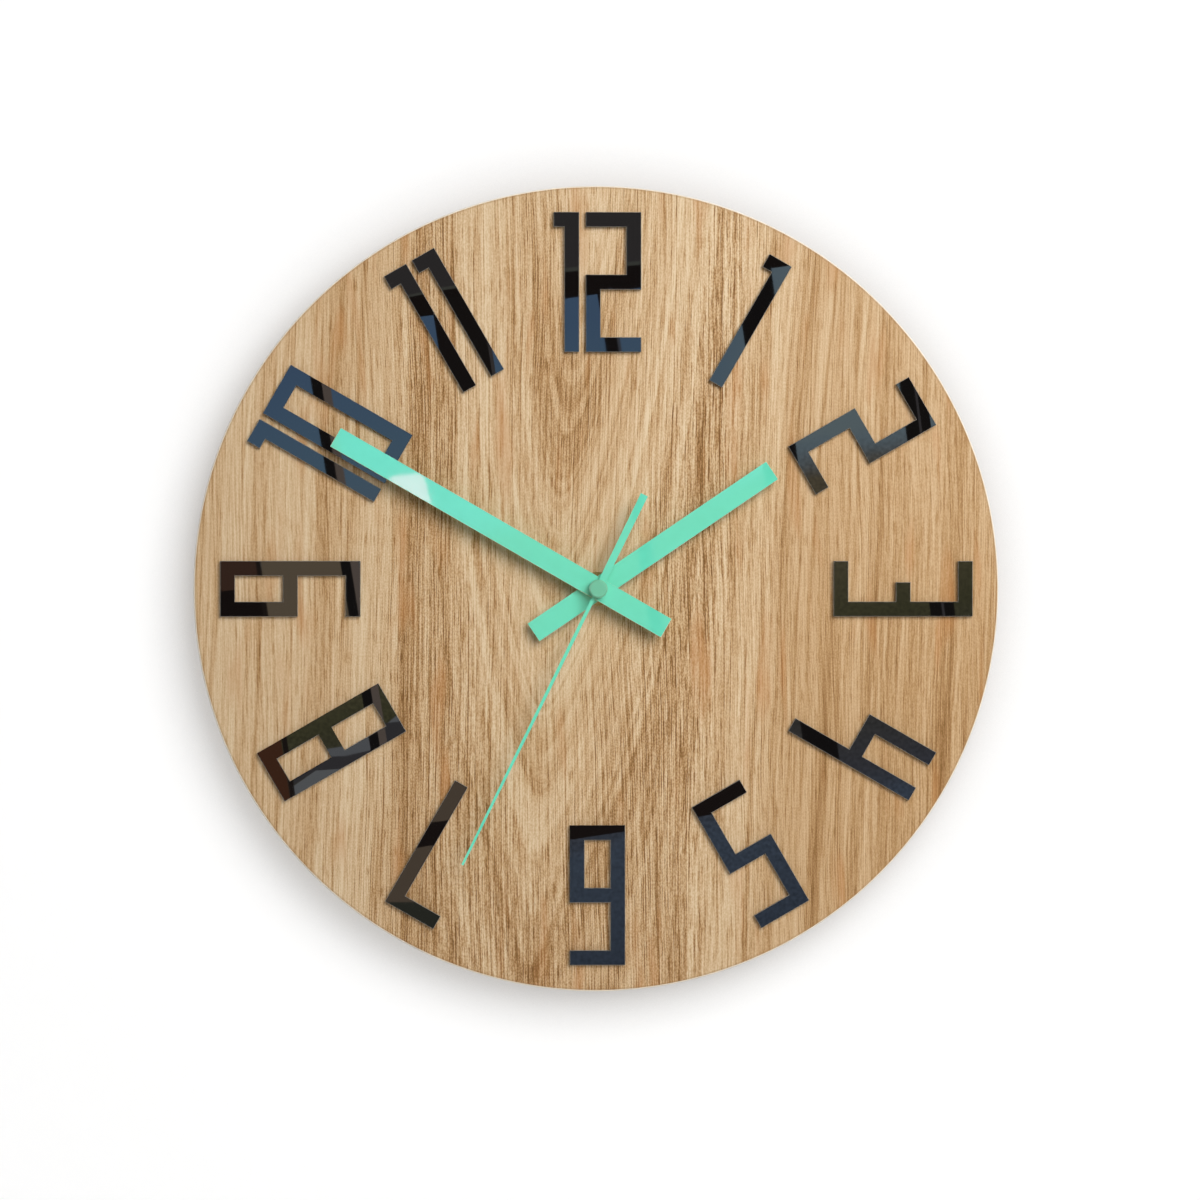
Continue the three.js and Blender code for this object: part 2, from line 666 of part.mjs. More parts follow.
function frontCaseSolid() {
  const square = [-CASE_HALF, CASE_HALF];
  const [bossRear] = level("frontBoss");
  const [bridgeRear, bridgeFront] = level("bridge");
  const posts = bridgePosts().flatMap((place) => [
    rod(POST_RADIUS, bridgeFront, ROOM_FRONT + CASE_WALL / 2, place),
    rod(PEG_RADIUS, bridgeRear, ROOM_FRONT, place),
  ]);
  const pivots = [THIRD, MOTION];
  const bossRoot = CASE_FRONT - CASE_WALL / 2;
  const bosses = pivots.map((place) => rod(PIVOT_BOSS_RADIUS, bossRear, bossRoot, place));
  const holeEnd = ROOM_FRONT + PIVOT_DEPTH;
  const holes = pivots.map((place) => pivotHole(place, bossRear - CUT_OVERRUN, holeEnd));
  const bushHole = drill(BUSH_RADIUS + THREAD_GAP, [ROOM_FRONT, CASE_FRONT]);
  const wall = plate(roundedRectangle(square, square, CASE_CORNER_RADIUS), ROOM_FRONT, CASE_FRONT);
  return cut(join(wall, ...posts, ...bosses, snapArm(-1), snapArm(1)), bushHole, ...holes);
}

// A post on the rear wall with a shoulder at one height and a peg that runs on to another.
function peggedPost(place, shoulder, pegEnd) {
  return join(
    rod(POST_RADIUS, ROOM_REAR / 2, shoulder, place),
    rod(PEG_RADIUS, ROOM_REAR, pegEnd, place),
  );
}

function pegHoles(places, span) {
  return places.map((place) => drill(PEG_RADIUS + PEG_GAP, span, place, PIN_SIDES));
}

function loopShape() {
  const top = CASE_HALF + LOOP_HEIGHT;
  const round = LOOP_CORNER_RADIUS;
  const shape = new THREE.Shape();
  shape.moveTo(-LOOP_WIDTH / 2, CASE_HALF - CASE_WALL / 2);
  shape.lineTo(LOOP_WIDTH / 2, CASE_HALF - CASE_WALL / 2);
  shape.absarc(LOOP_WIDTH / 2 - round, top - round, round, 0, Math.PI / 2);
  shape.absarc(-LOOP_WIDTH / 2 + round, top - round, round, Math.PI / 2, Math.PI);
  const hole = new THREE.Path();
  const foot = CASE_HALF + LOOP_HOLE_FOOT;
  const arch = LOOP_HOLE_CORNER_RADIUS;
  hole.moveTo(-LOOP_HOLE_WIDTH / 2, foot);
  hole.lineTo(LOOP_HOLE_WIDTH / 2, foot);
  hole.absarc(LOOP_HOLE_WIDTH / 2 - arch, foot + LOOP_HOLE_HEIGHT - arch, arch, 0, Math.PI / 2);
  hole.absarc(-LOOP_HOLE_WIDTH / 2 + arch, foot + LOOP_HOLE_HEIGHT - arch, arch, Math.PI / 2, Math.PI);
  shape.holes.push(hole);
  return shape;
}

function rearCaseSolid() {
  const square = [-CASE_HALF, CASE_HALF];
  const room = [-ROOM_HALF, ROOM_HALF];
  const outside = plate(roundedRectangle(square, square, CASE_CORNER_RADIUS), 0, ROOM_FRONT);
  const roomCut = roundedRectangle(room, [BAY_TOP + BAY_WALL, ROOM_HALF], ROOM_CORNER_RADIUS);
  const bayCut = roundedRectangle(room, [-ROOM_HALF, BAY_TOP], ROOM_CORNER_RADIUS);
  const slots = [-1, 1].map((side) => {
    const across = sided(side, ROOM_HALF - BAY_SIDE_SLOT, ROOM_HALF);
    const up = [BAY_TOP - CUT_OVERRUN, BAY_TOP + BAY_WALL + CUT_OVERRUN];
    return box(across, up, [ROOM_REAR, ROOM_FRONT + CUT_OVERRUN]);
  });
  const shell = cut(
    outside,
    plate(roomCut, ROOM_REAR, ROOM_FRONT + CUT_OVERRUN),
    plate(bayCut, -CUT_OVERRUN, ROOM_FRONT + CUT_OVERRUN),
    ...slots,
  );
  const catches = [-1, 1].map((side) => {
    const across = sided(side, CASE_HALF - CASE_WALL / 2, CASE_HALF + SNAP_GAP / 2);
    const rear = ROOM_FRONT / 2;
    return box(across, [-SNAP_ARM_WIDTH / 2, SNAP_ARM_WIDTH / 2], [rear, rear + SNAP_CATCH_DEPTH * 2]);
  });
  const [, bossFront] = level("rearBoss");
  const pivots = [CENTRE, THIRD, INTERMEDIATE, ROTOR];
  const bosses = pivots.map((place) => rod(PIVOT_BOSS_RADIUS, ROOM_REAR / 2, bossFront, place));
  const holeEnd = ROOM_REAR - PIVOT_DEPTH;
  const pivotHoles = pivots.map((place) => pivotHole(place, holeEnd, bossFront + CUT_OVERRUN));
  const [statorRear] = level("stator");
  const [, coreFront] = level("coilCore");
  const motorPosts = statorLegs().map((place) => peggedPost(place, statorRear, coreFront));
  const [boardRear, boardFront] = level("board");
  const boardPosts = boardPostPlaces().map((place) => peggedPost(place, boardRear, boardFront));
  const [cupRear, cupFront] = level("knobCupFloor");
  const cup = rod(KNOB_RADIUS + KNOB_GAP + KNOB_CUP_WALL, 0, cupFront, KNOB, TUBE_SIDES);
  const cupRoom = rod(KNOB_RADIUS + KNOB_GAP, -CUT_OVERRUN, cupRear, KNOB, TUBE_SIDES);
  const shaftHole = rod(KNOB_SHAFT_RADIUS + PIVOT_GAP, 0, cupFront + CUT_OVERRUN, KNOB);
  const loop = plate(loopShape(), 0, LOOP_THICKNESS);
  return cut(
    join(shell, cup, loop, ...catches, ...bosses, ...motorPosts, ...boardPosts),
    cupRoom,
    shaftHole,
    ...pivotHoles,
  );
}

// Cell and contacts

function cellSolid() {
  const half = CELL_LENGTH / 2;
  const radius = CELL_DIAMETER / 2;
  const shoulder = half - CELL_NUB_LENGTH;
  const profile = [
    [0, -half],
    [radius - CELL_EDGE_RADIUS, -half],
    [radius, -half + CELL_EDGE_RADIUS],
    [radius, shoulder - CELL_EDGE_RADIUS],
    [radius - CELL_EDGE_RADIUS, shoulder],
    [CELL_NUB_DIAMETER / 2, shoulder],
    [CELL_NUB_DIAMETER / 2, half],
    [0, half],
  ];
  return turned(profile).rotate([0, 90, 0]).translate([0, CELL_Y, CELL_H]);
}

// A springy strip that stands between the cell's end and the case's side, and runs up to the board.
function contactSolid(side, dimpleRadius) {
  const far = ROOM_HALF - CONTACT_WALL_GAP;
  const near = far - CONTACT_THICKNESS;
  const across = sided(side, near, far);
  const half = CONTACT_PLATE_WIDTH / 2;
  const [, boardFront] = level("board");
  const stripRear = boardFront + SEAT_GAP;
  const stripFront = stripRear + CONTACT_STRIP_WIDTH;
  const face = box(across, [CELL_Y - half, CELL_Y + half], [CELL_H - half, stripFront]);
  const strip = box(across, [CELL_Y, CONTACT_STRIP_REACH], [stripRear, stripFront]);
  const reach = near - CELL_LENGTH / 2 - CONTACT_CELL_GAP;
  const dimple = rod(dimpleRadius, near - reach, far - CONTACT_THICKNESS / 2, CENTRE, TUBE_SIDES)
    .rotate([0, 90, 0])
    .translate([0, CELL_Y, CELL_H]);
  return join(face, strip, side > 0 ? dimple : dimple.mirror([1, 0, 0]));
}

// Stepping motor

// The coil lies across the top of the stator's pole ring.
function coilMiddle() {
  const flangeHalf = COIL_CORE_WIDTH / 2 + BOBBIN_GAP + BOBBIN_WALL + BOBBIN_FLANGE_WIDTH;
  return [ROTOR[0], ROTOR[1] + POLE_RADIUS + COIL_GAP + flangeHalf];
}

function statorLegs() {
  const [x, y] = coilMiddle();
  const reach = COIL_LENGTH / 2 + COIL_END_GAP + STATOR_LEG_WIDTH / 2;
  return [
    [x - reach, y],
    [x + reach, y],
  ];
}

function statorSolid() {
  const [low, high] = level("stator");
  const [x, y] = coilMiddle();
  const top = y + COIL_CORE_WIDTH / 2;
  const barLow = ROTOR[1] + STATOR_BAR_RISE;
  const outer = COIL_LENGTH / 2 + COIL_END_GAP + STATOR_LEG_WIDTH;
  const inner = outer - STATOR_LEG_WIDTH;
  const yoke = outline([
    [x - outer, barLow],
    [x + outer, barLow],
    [x + outer, top],
    [x + inner, top],
    [x + inner, barLow + STATOR_BAR_WIDTH],
    [x - inner, barLow + STATOR_BAR_WIDTH],
    [x - inner, top],
    [x - outer, top],
  ]);
  const pole = rod(POLE_RADIUS, low, high, ROTOR, TUBE_SIDES);
  const bore = drill(MAGNET_RADIUS + MAGNET_GAP, [low, high], ROTOR);
  return cut(join(plate(yoke, low, high), pole), bore, ...pegHoles(statorLegs(), [low, high]));
}

function coilCoreSolid() {
  const [low, high] = level("coilCore");
  const [x, y] = coilMiddle();
  const outer = COIL_LENGTH / 2 + COIL_END_GAP + STATOR_LEG_WIDTH;
  const bar = box([x - outer, x + outer], [y - COIL_CORE_WIDTH / 2, y + COIL_CORE_WIDTH / 2], [low, high]);
  return cut(bar, ...pegHoles(statorLegs(), [low, high]));
}

// A square tube along x round the coil's core: grown is how far its faces stand off the core.
function coreSleeve([x0, x1], grown) {
  const [low, high] = level("coilCore");
  const [, y] = coilMiddle();
  const half = COIL_CORE_WIDTH / 2 + grown;
  return box([x0, x1], [y - half, y + half], [low - grown, high + grown]);
}

function bobbinSolid() {
  const [x] = coilMiddle();
  const [x0, x1] = [x - COIL_LENGTH / 2, x + COIL_LENGTH / 2];
  const tube = BOBBIN_GAP + BOBBIN_WALL;
  const flange = tube + BOBBIN_FLANGE_WIDTH;
  return cut(
    join(
      coreSleeve([x0, x1], tube),
      coreSleeve([x0, x0 + BOBBIN_FLANGE_THICKNESS], flange),
      coreSleeve([x1 - BOBBIN_FLANGE_THICKNESS, x1], flange),
    ),
    coreSleeve([x0 - CUT_OVERRUN, x1 + CUT_OVERRUN], BOBBIN_GAP),
  );
}

function windingSolid() {
  const [x] = coilMiddle();
  const reach = COIL_LENGTH / 2 - BOBBIN_FLANGE_THICKNESS - WINDING_GAP;
  const tube = BOBBIN_GAP + BOBBIN_WALL;
  const across = [x - reach, x + reach];
  return cut(
    coreSleeve(across, tube + BOBBIN_FLANGE_WIDTH - WINDING_INSET),
    coreSleeve([across[0] - CUT_OVERRUN, across[1] + CUT_OVERRUN], tube + WINDING_GAP),
  );
}

// Board

// The board ends below the room's rounded corners.
function boardSpan() {
  const top = ROOM_HALF - ROOM_CORNER_RADIUS;
  return [top - BOARD_HEIGHT, top];
}

function boardPostPlaces() {
  const [low, high] = boardSpan();
  const x = ROOM_HALF - BOARD_POST_INSET;
  return [-x, x].map((place) => [place, (low + high) / 2]);
}

function boardSolid() {
  const [low, high] = level("board");
  const half = ROOM_HALF - BOARD_SIDE_GAP;
  return cut(box([-half, half], boardSpan(), [low, high]), ...pegHoles(boardPostPlaces(), [low, high]));
}

function chipSolid() {
  const [boardRear] = level("board");
  const [low, high] = boardSpan();
  const middle = (low + high) / 2;
  return box(
    [CHIP_PLACE - CHIP_LENGTH / 2, CHIP_PLACE + CHIP_LENGTH / 2],
    [middle - CHIP_WIDTH / 2, middle + CHIP_WIDTH / 2],
    [boardRear - CHIP_HEIGHT, boardRear],
  );
}

function crystalSolid() {
  const [boardRear] = level("board");
  const [low, high] = boardSpan();
  return rod(CRYSTAL_RADIUS, -CRYSTAL_LENGTH / 2, CRYSTAL_LENGTH / 2)
    .rotate([0, 90, 0])
    .translate([CRYSTAL_PLACE, (low + high) / 2, boardRear - CRYSTAL_RADIUS - SEAT_GAP]);
}

function bridgeSolid() {
  const [low, high] = level("bridge");
  const wall = plate(
    roundedRectangle([-BRIDGE_LEFT, BRIDGE_RIGHT], [-BRIDGE_BOTTOM, BRIDGE_TOP], BRIDGE_CORNER_RADIUS),
    low,
    high,
  );
  const arbors = [CENTRE, THIRD, INTERMEDIATE, ROTOR, MOTION];
  const pivots = arbors.map((place) => drill(ARBOR_RADIUS + PIVOT_GAP, [low, high], place, PIN_SIDES));
  const knobHole = drill(KNOB_SHAFT_RADIUS + PIVOT_GAP, [low, high], KNOB, PIN_SIDES);
  return cut(wall, ...pivots, knobHole, ...pegHoles(bridgePosts(), [low, high]));
}

// Wheels. A level gives a toothed disc its thickness.

function toothed(name, teeth, module, phase, place) {
  const [low, high] = level(name);
  return gear({ teeth, module, phase, low, high, place });
}

const SECOND_PINION_MODULE = moduleOf(THIRD_DISTANCE, SECOND_PINION_TEETH, THIRD_WHEEL_TEETH);
const THIRD_PINION_MODULE = moduleOf(THIRD_DISTANCE, THIRD_PINION_TEETH, CENTRE_WHEEL_TEETH);
const SECOND_WHEEL_MODULE = moduleOf(INTERMEDIATE_DISTANCE, INTERMEDIATE_PINION_TEETH, SECOND_WHEEL_TEETH);
const ROTOR_PINION_MODULE = moduleOf(ROTOR_DISTANCE, ROTOR_PINION_TEETH, INTERMEDIATE_WHEEL_TEETH);
const CANNON_MODULE = moduleOf(ARBOR_DISTANCE, CANNON_PINION_TEETH, MOTION_WHEEL_TEETH);
const HOUR_MODULE = moduleOf(ARBOR_DISTANCE, MOTION_PINION_TEETH, HOUR_WHEEL_TEETH);

function secondWheelSolid() {
  return join(
    toothed("secondWheel", SECOND_WHEEL_TEETH, SECOND_WHEEL_MODULE, 0, CENTRE),
    toothed("secondPinion", SECOND_PINION_TEETH, SECOND_PINION_MODULE, 0, CENTRE),
    rod(SECOND_ARBOR_RADIUS, rearPivot(), secondArborFront()),
  );
}

function thirdWheelSolid() {
  const phase = meshPhase(0, SECOND_PINION_TEETH, CENTRE, THIRD_WHEEL_TEETH, THIRD);
  return join(
    toothed("thirdWheel", THIRD_WHEEL_TEETH, SECOND_PINION_MODULE, phase, THIRD),
    toothed("thirdPinion", THIRD_PINION_TEETH, THIRD_PINION_MODULE, 0, THIRD),
    rod(ARBOR_RADIUS, rearPivot(), frontPivot(), THIRD),
  );
}

function centreWheelSolid() {
  const phase = meshPhase(0, THIRD_PINION_TEETH, THIRD, CENTRE_WHEEL_TEETH, CENTRE);
  const wheel = toothed("centreWheel", CENTRE_WHEEL_TEETH, THIRD_PINION_MODULE, phase, CENTRE);
  return cut(wheel, drill(MINUTE_PIPE_RADIUS + TUBE_GAP, level("centreWheel")));
}

function intermediateWheelSolid() {
  const phase = meshPhase(0, SECOND_WHEEL_TEETH, CENTRE, INTERMEDIATE_PINION_TEETH, INTERMEDIATE);
  const [, bridgeFront] = level("bridge");
  return join(
    toothed("intermediateWheel", INTERMEDIATE_WHEEL_TEETH, ROTOR_PINION_MODULE, 0, INTERMEDIATE),
    toothed("intermediatePinion", INTERMEDIATE_PINION_TEETH, SECOND_WHEEL_MODULE, phase, INTERMEDIATE),
    rod(ARBOR_RADIUS, rearPivot(), bridgeFront - PIVOT_GAP, INTERMEDIATE),
  );
}

function rotorSolid() {
  const phase = meshPhase(0, INTERMEDIATE_WHEEL_TEETH, INTERMEDIATE, ROTOR_PINION_TEETH, ROTOR);
  const [, bridgeFront] = level("bridge");
  return join(
    toothed("rotorPinion", ROTOR_PINION_TEETH, ROTOR_PINION_MODULE, phase, ROTOR),
    rod(ARBOR_RADIUS, rearPivot(), bridgeFront - PIVOT_GAP, ROTOR),
  );
}

function magnetSolid() {
  const [low, high] = level("rotorMagnet");
  return ring(ARBOR_RADIUS + SEAT_GAP, MAGNET_RADIUS, low, high, ROTOR);
}

function cannonPinionSolid() {
  const [, bridgeFront] = level("bridge");
  const rear = bridgeFront + TUBE_GAP;
  const front = MINUTE_HAND_FRONT + PIPE_STAND_OUT;
  return cut(
    join(
      toothed("cannonPinion", CANNON_PINION_TEETH, CANNON_MODULE, 0, CENTRE),
      rod(MINUTE_PIPE_RADIUS, rear, front, CENTRE, TUBE_SIDES),
    ),
    drill(MINUTE_PIPE_BORE, [rear, front], CENTRE, PIN_SIDES),
  );
}

function motionPhase() {
  return meshPhase(0, CANNON_PINION_TEETH, CENTRE, MOTION_WHEEL_TEETH, MOTION);
}

function motionWheelSolid() {
  const [bridgeRear] = level("bridge");
  const [, wheelFront] = level("motionWheel");
  const [pinionRear] = level("motionPinion");
  return join(
    toothed("motionWheel", MOTION_WHEEL_TEETH, CANNON_MODULE, motionPhase(), MOTION),
    toothed("motionPinion", MOTION_PINION_TEETH, HOUR_MODULE, 0, MOTION),
    rod(WHEEL_HUB_RADIUS, wheelFront, pinionRear, MOTION),
    rod(ARBOR_RADIUS, bridgeRear + PIVOT_GAP, frontPivot(), MOTION),
  );
}

function hourWheelSolid() {
  const phase = meshPhase(0, MOTION_PINION_TEETH, MOTION, HOUR_WHEEL_TEETH, CENTRE);
  const [low] = level("hourWheel");
  const front = HOUR_HAND_FRONT + PIPE_STAND_OUT;
  return cut(
    join(
      toothed("hourWheel", HOUR_WHEEL_TEETH, HOUR_MODULE, phase, CENTRE),
      rod(HOUR_PIPE_RADIUS, low, front, CENTRE, TUBE_SIDES),
    ),
    drill(HOUR_PIPE_BORE, [low, front]),
  );
}

function knobSolid() {
  const phase = meshPhase(motionPhase(), MOTION_WHEEL_TEETH, MOTION, KNOB_PINION_TEETH, KNOB);
  const [cupRear] = level("knobCupFloor");
  const [, pinionFront] = level("cannonPinion");
  const groove = KNOB_RADIUS - KNOB_RIB_DEPTH;
  const points = [];
  for (let rib = 0; rib < KNOB_RIBS; rib++) {
    const corners = KNOB_RIB_SHARES.map((share) => ((rib + share) * 2 * Math.PI) / KNOB_RIBS);
    points.push(polar(KNOB_RADIUS, corners[0]), polar(KNOB_RADIUS, corners[1]));
    points.push(polar(groove, corners[2]), polar(groove, corners[3]));
  }
  return join(
    plate(outline(points), KNOB_GAP, cupRear - KNOB_GAP).translate([...KNOB, 0]),
    rod(KNOB_SHAFT_RADIUS, KNOB_GAP, pinionFront, KNOB),
    toothed("cannonPinion", KNOB_PINION_TEETH, CANNON_MODULE, phase, KNOB),
  );
}

function piece(name, solid, material) {
  const mesh = new THREE.Mesh(geometryOf(solid), material);
  mesh.name = name;
  return mesh;
}

// A hand is turned about the axis from its place at 12 to where it points at rest.
function atAngle(clockwise, ...pieces) {
  const group = new THREE.Group();
  group.rotation.z = THREE.MathUtils.degToRad(-clockwise);
  group.add(...pieces);
  return group;
}

function dialGroup() {
  const dial = new THREE.Group();
  dial.add(piece("dial_disc", discSolid(), OAK));
  addNumerals(dial);
  return dial;
}

function clampGroup() {
  const clamp = new THREE.Group();
  const rubberHole = BUSH_RADIUS + THREAD_GAP;
  const rubber = ring(rubberHole, RUBBER_WASHER_DIAMETER / 2, CASE_FRONT, DISC_REAR);
  const washer = ring(DISC_HOLE_RADIUS, BRASS_WASHER_DIAMETER / 2, DISC_FRONT, NUT_REAR);
  clamp.add(
    piece("rubber_washer", rubber, RUBBER),
    piece("brass_washer", washer, BRASS),
    piece("hex_nut", nutSolid(), BRASS),
    piece("mounting_bush", bushSolid(), BRASS),
  );
  return clamp;
}

function handGroup() {
  const hands = new THREE.Group();
  const hour = barHand(HOUR_HAND_REACH, HOUR_HAND_TAIL, HOUR_PIPE_RADIUS, HOUR_HAND_REAR);
  const minute = barHand(MINUTE_HAND_REACH, MINUTE_HAND_TAIL, MINUTE_PIPE_RADIUS, MINUTE_HAND_REAR);
  hands.add(
    atAngle(HOUR_HAND_ANGLE, piece("hour_hand", hour, MINT)),
    atAngle(MINUTE_HAND_ANGLE, piece("minute_hand", minute, MINT)),
    atAngle(
      SECOND_HAND_ANGLE,
      piece("second_hand", secondHandSolid(), MINT),
      piece("second_hand_cap", capSolid(), MINT_CAP),
    ),
  );
  return hands;
}

function movementGroup() {
  const movement = new THREE.Group();
  movement.add(
    piece("front_case", frontCaseSolid(), CASE_PLASTIC),
    piece("rear_case", rearCaseSolid(), CASE_PLASTIC),
    piece("train_bridge", bridgeSolid(), BRIDGE_PLASTIC),
    piece("second_wheel", secondWheelSolid(), GEAR_PLASTIC),
    piece("third_wheel", thirdWheelSolid(), GEAR_PLASTIC),
    piece("centre_wheel", centreWheelSolid(), GEAR_PLASTIC),
    piece("intermediate_wheel", intermediateWheelSolid(), GEAR_PLASTIC),
    piece("rotor", rotorSolid(), GEAR_PLASTIC),
    piece("rotor_magnet", magnetSolid(), MAGNET),
    piece("cannon_pinion", cannonPinionSolid(), BRASS),
    piece("motion_wheel", motionWheelSolid(), GEAR_PLASTIC),
    piece("hour_wheel", hourWheelSolid(), GEAR_PLASTIC),
    piece("setting_knob", knobSolid(), GEAR_PLASTIC),
    piece("stator", statorSolid(), STEEL),
    piece("coil_core", coilCoreSolid(), STEEL),
    piece("coil_bobbin", bobbinSolid(), GEAR_PLASTIC),
    piece("coil_winding", windingSolid(), COPPER),
    piece("circuit_board", boardSolid(), BOARD),
    piece("circuit_chip", chipSolid(), RESIN),
    piece("quartz_crystal", crystalSolid(), STEEL),
    piece("positive_contact", contactSolid(1, POSITIVE_DIMPLE_RADIUS), STEEL),
    piece("negative_contact", contactSolid(-1, NEGATIVE_DIMPLE_RADIUS), STEEL),
    piece("battery", cellSolid(), CELL_SLEEVE),
  );
  return movement;
}

// The finished clock stands upright with its back to the wall: the dial faces -Y and 12 is up, +Z.
const clock = new THREE.Group();
clock.add(dialGroup(), clampGroup(), handGroup(), movementGroup());
clock.rotation.x = Math.PI / 2;

export default clock;
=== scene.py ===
import json
import math

import bpy
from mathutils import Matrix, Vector


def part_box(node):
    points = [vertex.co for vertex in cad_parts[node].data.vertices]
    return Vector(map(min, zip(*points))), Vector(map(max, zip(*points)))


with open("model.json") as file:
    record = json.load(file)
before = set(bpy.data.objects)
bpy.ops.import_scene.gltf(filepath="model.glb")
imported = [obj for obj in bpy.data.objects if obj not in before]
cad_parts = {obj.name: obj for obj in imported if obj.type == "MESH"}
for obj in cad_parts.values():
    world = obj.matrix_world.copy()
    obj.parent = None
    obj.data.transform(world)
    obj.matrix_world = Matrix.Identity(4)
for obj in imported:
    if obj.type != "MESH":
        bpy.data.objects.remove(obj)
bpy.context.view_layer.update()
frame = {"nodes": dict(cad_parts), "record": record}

MM = 0.001

# The front faces of the disc, the numerals and the minute hand, from the wall at y = 0
DIAL_FRONT = -21.5 * MM
NUMERAL_FRONT = -23.5 * MM
MINUTE_HAND_FRONT = -29.4 * MM

# The photograph is taken from 1.8 m with a long lens, a little left of the axis
CAMERA_AZIMUTH = -2.0
CAMERA_ELEVATION = 0.3
CAMERA_DISTANCE = 1.8
CAMERA_LENS = 131.9
CAMERA_AIM = Vector((1.1 * MM, DIAL_FRONT, -4.6 * MM))


def linear(colour):
    """Turns an sRGB hex value such as "#c1a077" into linear RGBA."""
    channels = [int(colour[at : at + 2], 16) / 255 for at in (1, 3, 5)]
    curve = [c / 12.92 if c <= 0.04045 else ((c + 0.055) / 1.055) ** 2.4 for c in channels]
    return (*curve, 1.0)


def add(tree, kind, inputs=None, out=0, stops=None, **settings):
    """Adds one node with its settings. Each input is a value or another node's output.

    Returns the output that out names, or all of them where out is None."""
    node = tree.nodes.new(kind)
    for name, value in settings.items():
        setattr(node, name, value)
    for socket, value in (inputs or {}).items():
        if isinstance(value, bpy.types.NodeSocket):
            tree.links.new(value, node.inputs[socket])
        else:
            node.inputs[socket].default_value = value
    if stops:
        points = node.color_ramp.elements
        points.remove(points[1])
        points[0].position, points[0].color = stops[0]
        for position, colour in stops[1:]:
            points.new(position).color = colour
    if out is None or not len(node.outputs):
        return node.outputs
    return node.outputs[out]


# Sockets of the Mix node, whose names repeat
COLOUR_A, COLOUR_B, COLOUR_OUT = 6, 7, 2


def make_camera():
    """Looks at the clock from where the photograph was taken, and returns the place."""
    azimuth = math.radians(CAMERA_AZIMUTH)
    elevation = math.radians(CAMERA_ELEVATION)
    back = Vector((
        math.sin(azimuth) * math.cos(elevation),
        -math.cos(azimuth) * math.cos(elevation),
        math.sin(elevation),
    ))
    camera = bpy.data.objects.new("camera", bpy.data.cameras.new("camera"))
    camera.data.lens = CAMERA_LENS
    camera.location = CAMERA_AIM + back * CAMERA_DISTANCE
    camera.rotation_mode = "QUATERNION"
    camera.rotation_quaternion = (-back).to_track_quat("-Z", "Y")
    bpy.context.scene.collection.objects.link(camera)
    bpy.context.scene.camera = camera
    return camera.location


eye = make_camera()


# The room: a pale wall and floor, a soft window-sized lamp, and what the glossy pieces mirror


def flat_piece(name, corners, material):
    """A flat sheet through the corners that belongs to the room, not to the clock."""
    mesh = bpy.data.meshes.new(name)
    mesh.from_pydata(corners, [], [range(len(corners))])
    mesh.materials.append(material)
    sheet = bpy.data.objects.new(name, mesh)
    bpy.context.scene.collection.objects.link(sheet)
    return sheet


# The wall as the camera sees it: the share that the lamp lights, and a glow that stands in for the bright room's
# fill. Near the clock the glow is lower, within a few centimetres: a painted shade.
WALL_SHADE = 0.33
WALL_GLOW = 0.71
WALL_NEAR_GLOW = 0.31
WALL_NEAR = 34 * MM
WALL_HALF_SHUT = 0.5
PLASTER_WHITE = "#e8e6e2"
WALL_GAP = 0.3 * MM
WALL_HALF = 4.0
FLOOR_DROP = 1.35


def plaster_with_painted_shade():
    """Matt white emulsion with a glow: it clips to white where the lamp reaches it, greys softly in the lamp's
    shadow, and greys near the clock by painted shade.
    """
    material = bpy.data.materials.new("plaster_with_painted_shade")
    material.use_nodes = True
    tree = material.node_tree
    tree.nodes.clear()
    path = add(tree, "ShaderNodeLightPath", out=None)
    seen = path["Is Camera Ray"]
    for other in ("Is Glossy Ray", "Is Transmission Ray"):
        seen = add(tree, "ShaderNodeMath", {0: seen, 1: path[other]}, operation="MAXIMUM")
    lit = add(tree, "ShaderNodeBsdfDiffuse", {"Color": (WALL_SHADE, WALL_SHADE, WALL_SHADE, 1)})
    # Painted shade: the glow is lower where the clock closes in the wall, read by ambient occlusion
    openness = add(tree, "ShaderNodeAmbientOcclusion", {"Distance": WALL_NEAR}, out="AO", samples=8)
    fill = add(tree, "ShaderNodeMapRange", {
        "Value": openness, "From Min": WALL_HALF_SHUT, "To Min": WALL_NEAR_GLOW, "To Max": WALL_GLOW,
    })
    glow = add(tree, "ShaderNodeEmission", {"Color": (1, 1, 1, 1), "Strength": fill})
    shown = add(tree, "ShaderNodeAddShader", {0: lit, 1: glow})
    plain = add(tree, "ShaderNodeBsdfDiffuse", {"Color": linear(PLASTER_WHITE)})
    front = add(tree, "ShaderNodeMixShader", {0: seen, 1: plain, 2: shown})
    clear = add(tree, "ShaderNodeBsdfTransparent")
    behind = add(tree, "ShaderNodeNewGeometry", out="Backfacing")
    whole = add(tree, "ShaderNodeMixShader", {0: behind, 1: front, 2: clear})
    add(tree, "ShaderNodeOutputMaterial", {"Surface": whole})
    return material


def make_room():
    """The wall behind the clock, which lets the rear lamp through, and the floor below it."""
    plaster = plaster_with_painted_shade()
    wall = flat_piece("wall", [
        (-WALL_HALF, WALL_GAP, -FLOOR_DROP),
        (WALL_HALF, WALL_GAP, -FLOOR_DROP),
        (WALL_HALF, WALL_GAP, WALL_HALF),
        (-WALL_HALF, WALL_GAP, WALL_HALF),
    ], plaster)
    wall.visible_shadow = False
    flat_piece("floor", [
        (-WALL_HALF, -WALL_HALF, -FLOOR_DROP),
        (WALL_HALF, -WALL_HALF, -FLOOR_DROP),
        (WALL_HALF, WALL_HALF, -FLOOR_DROP),
        (-WALL_HALF, WALL_HALF, -FLOOR_DROP),
    ], plaster)


make_room()


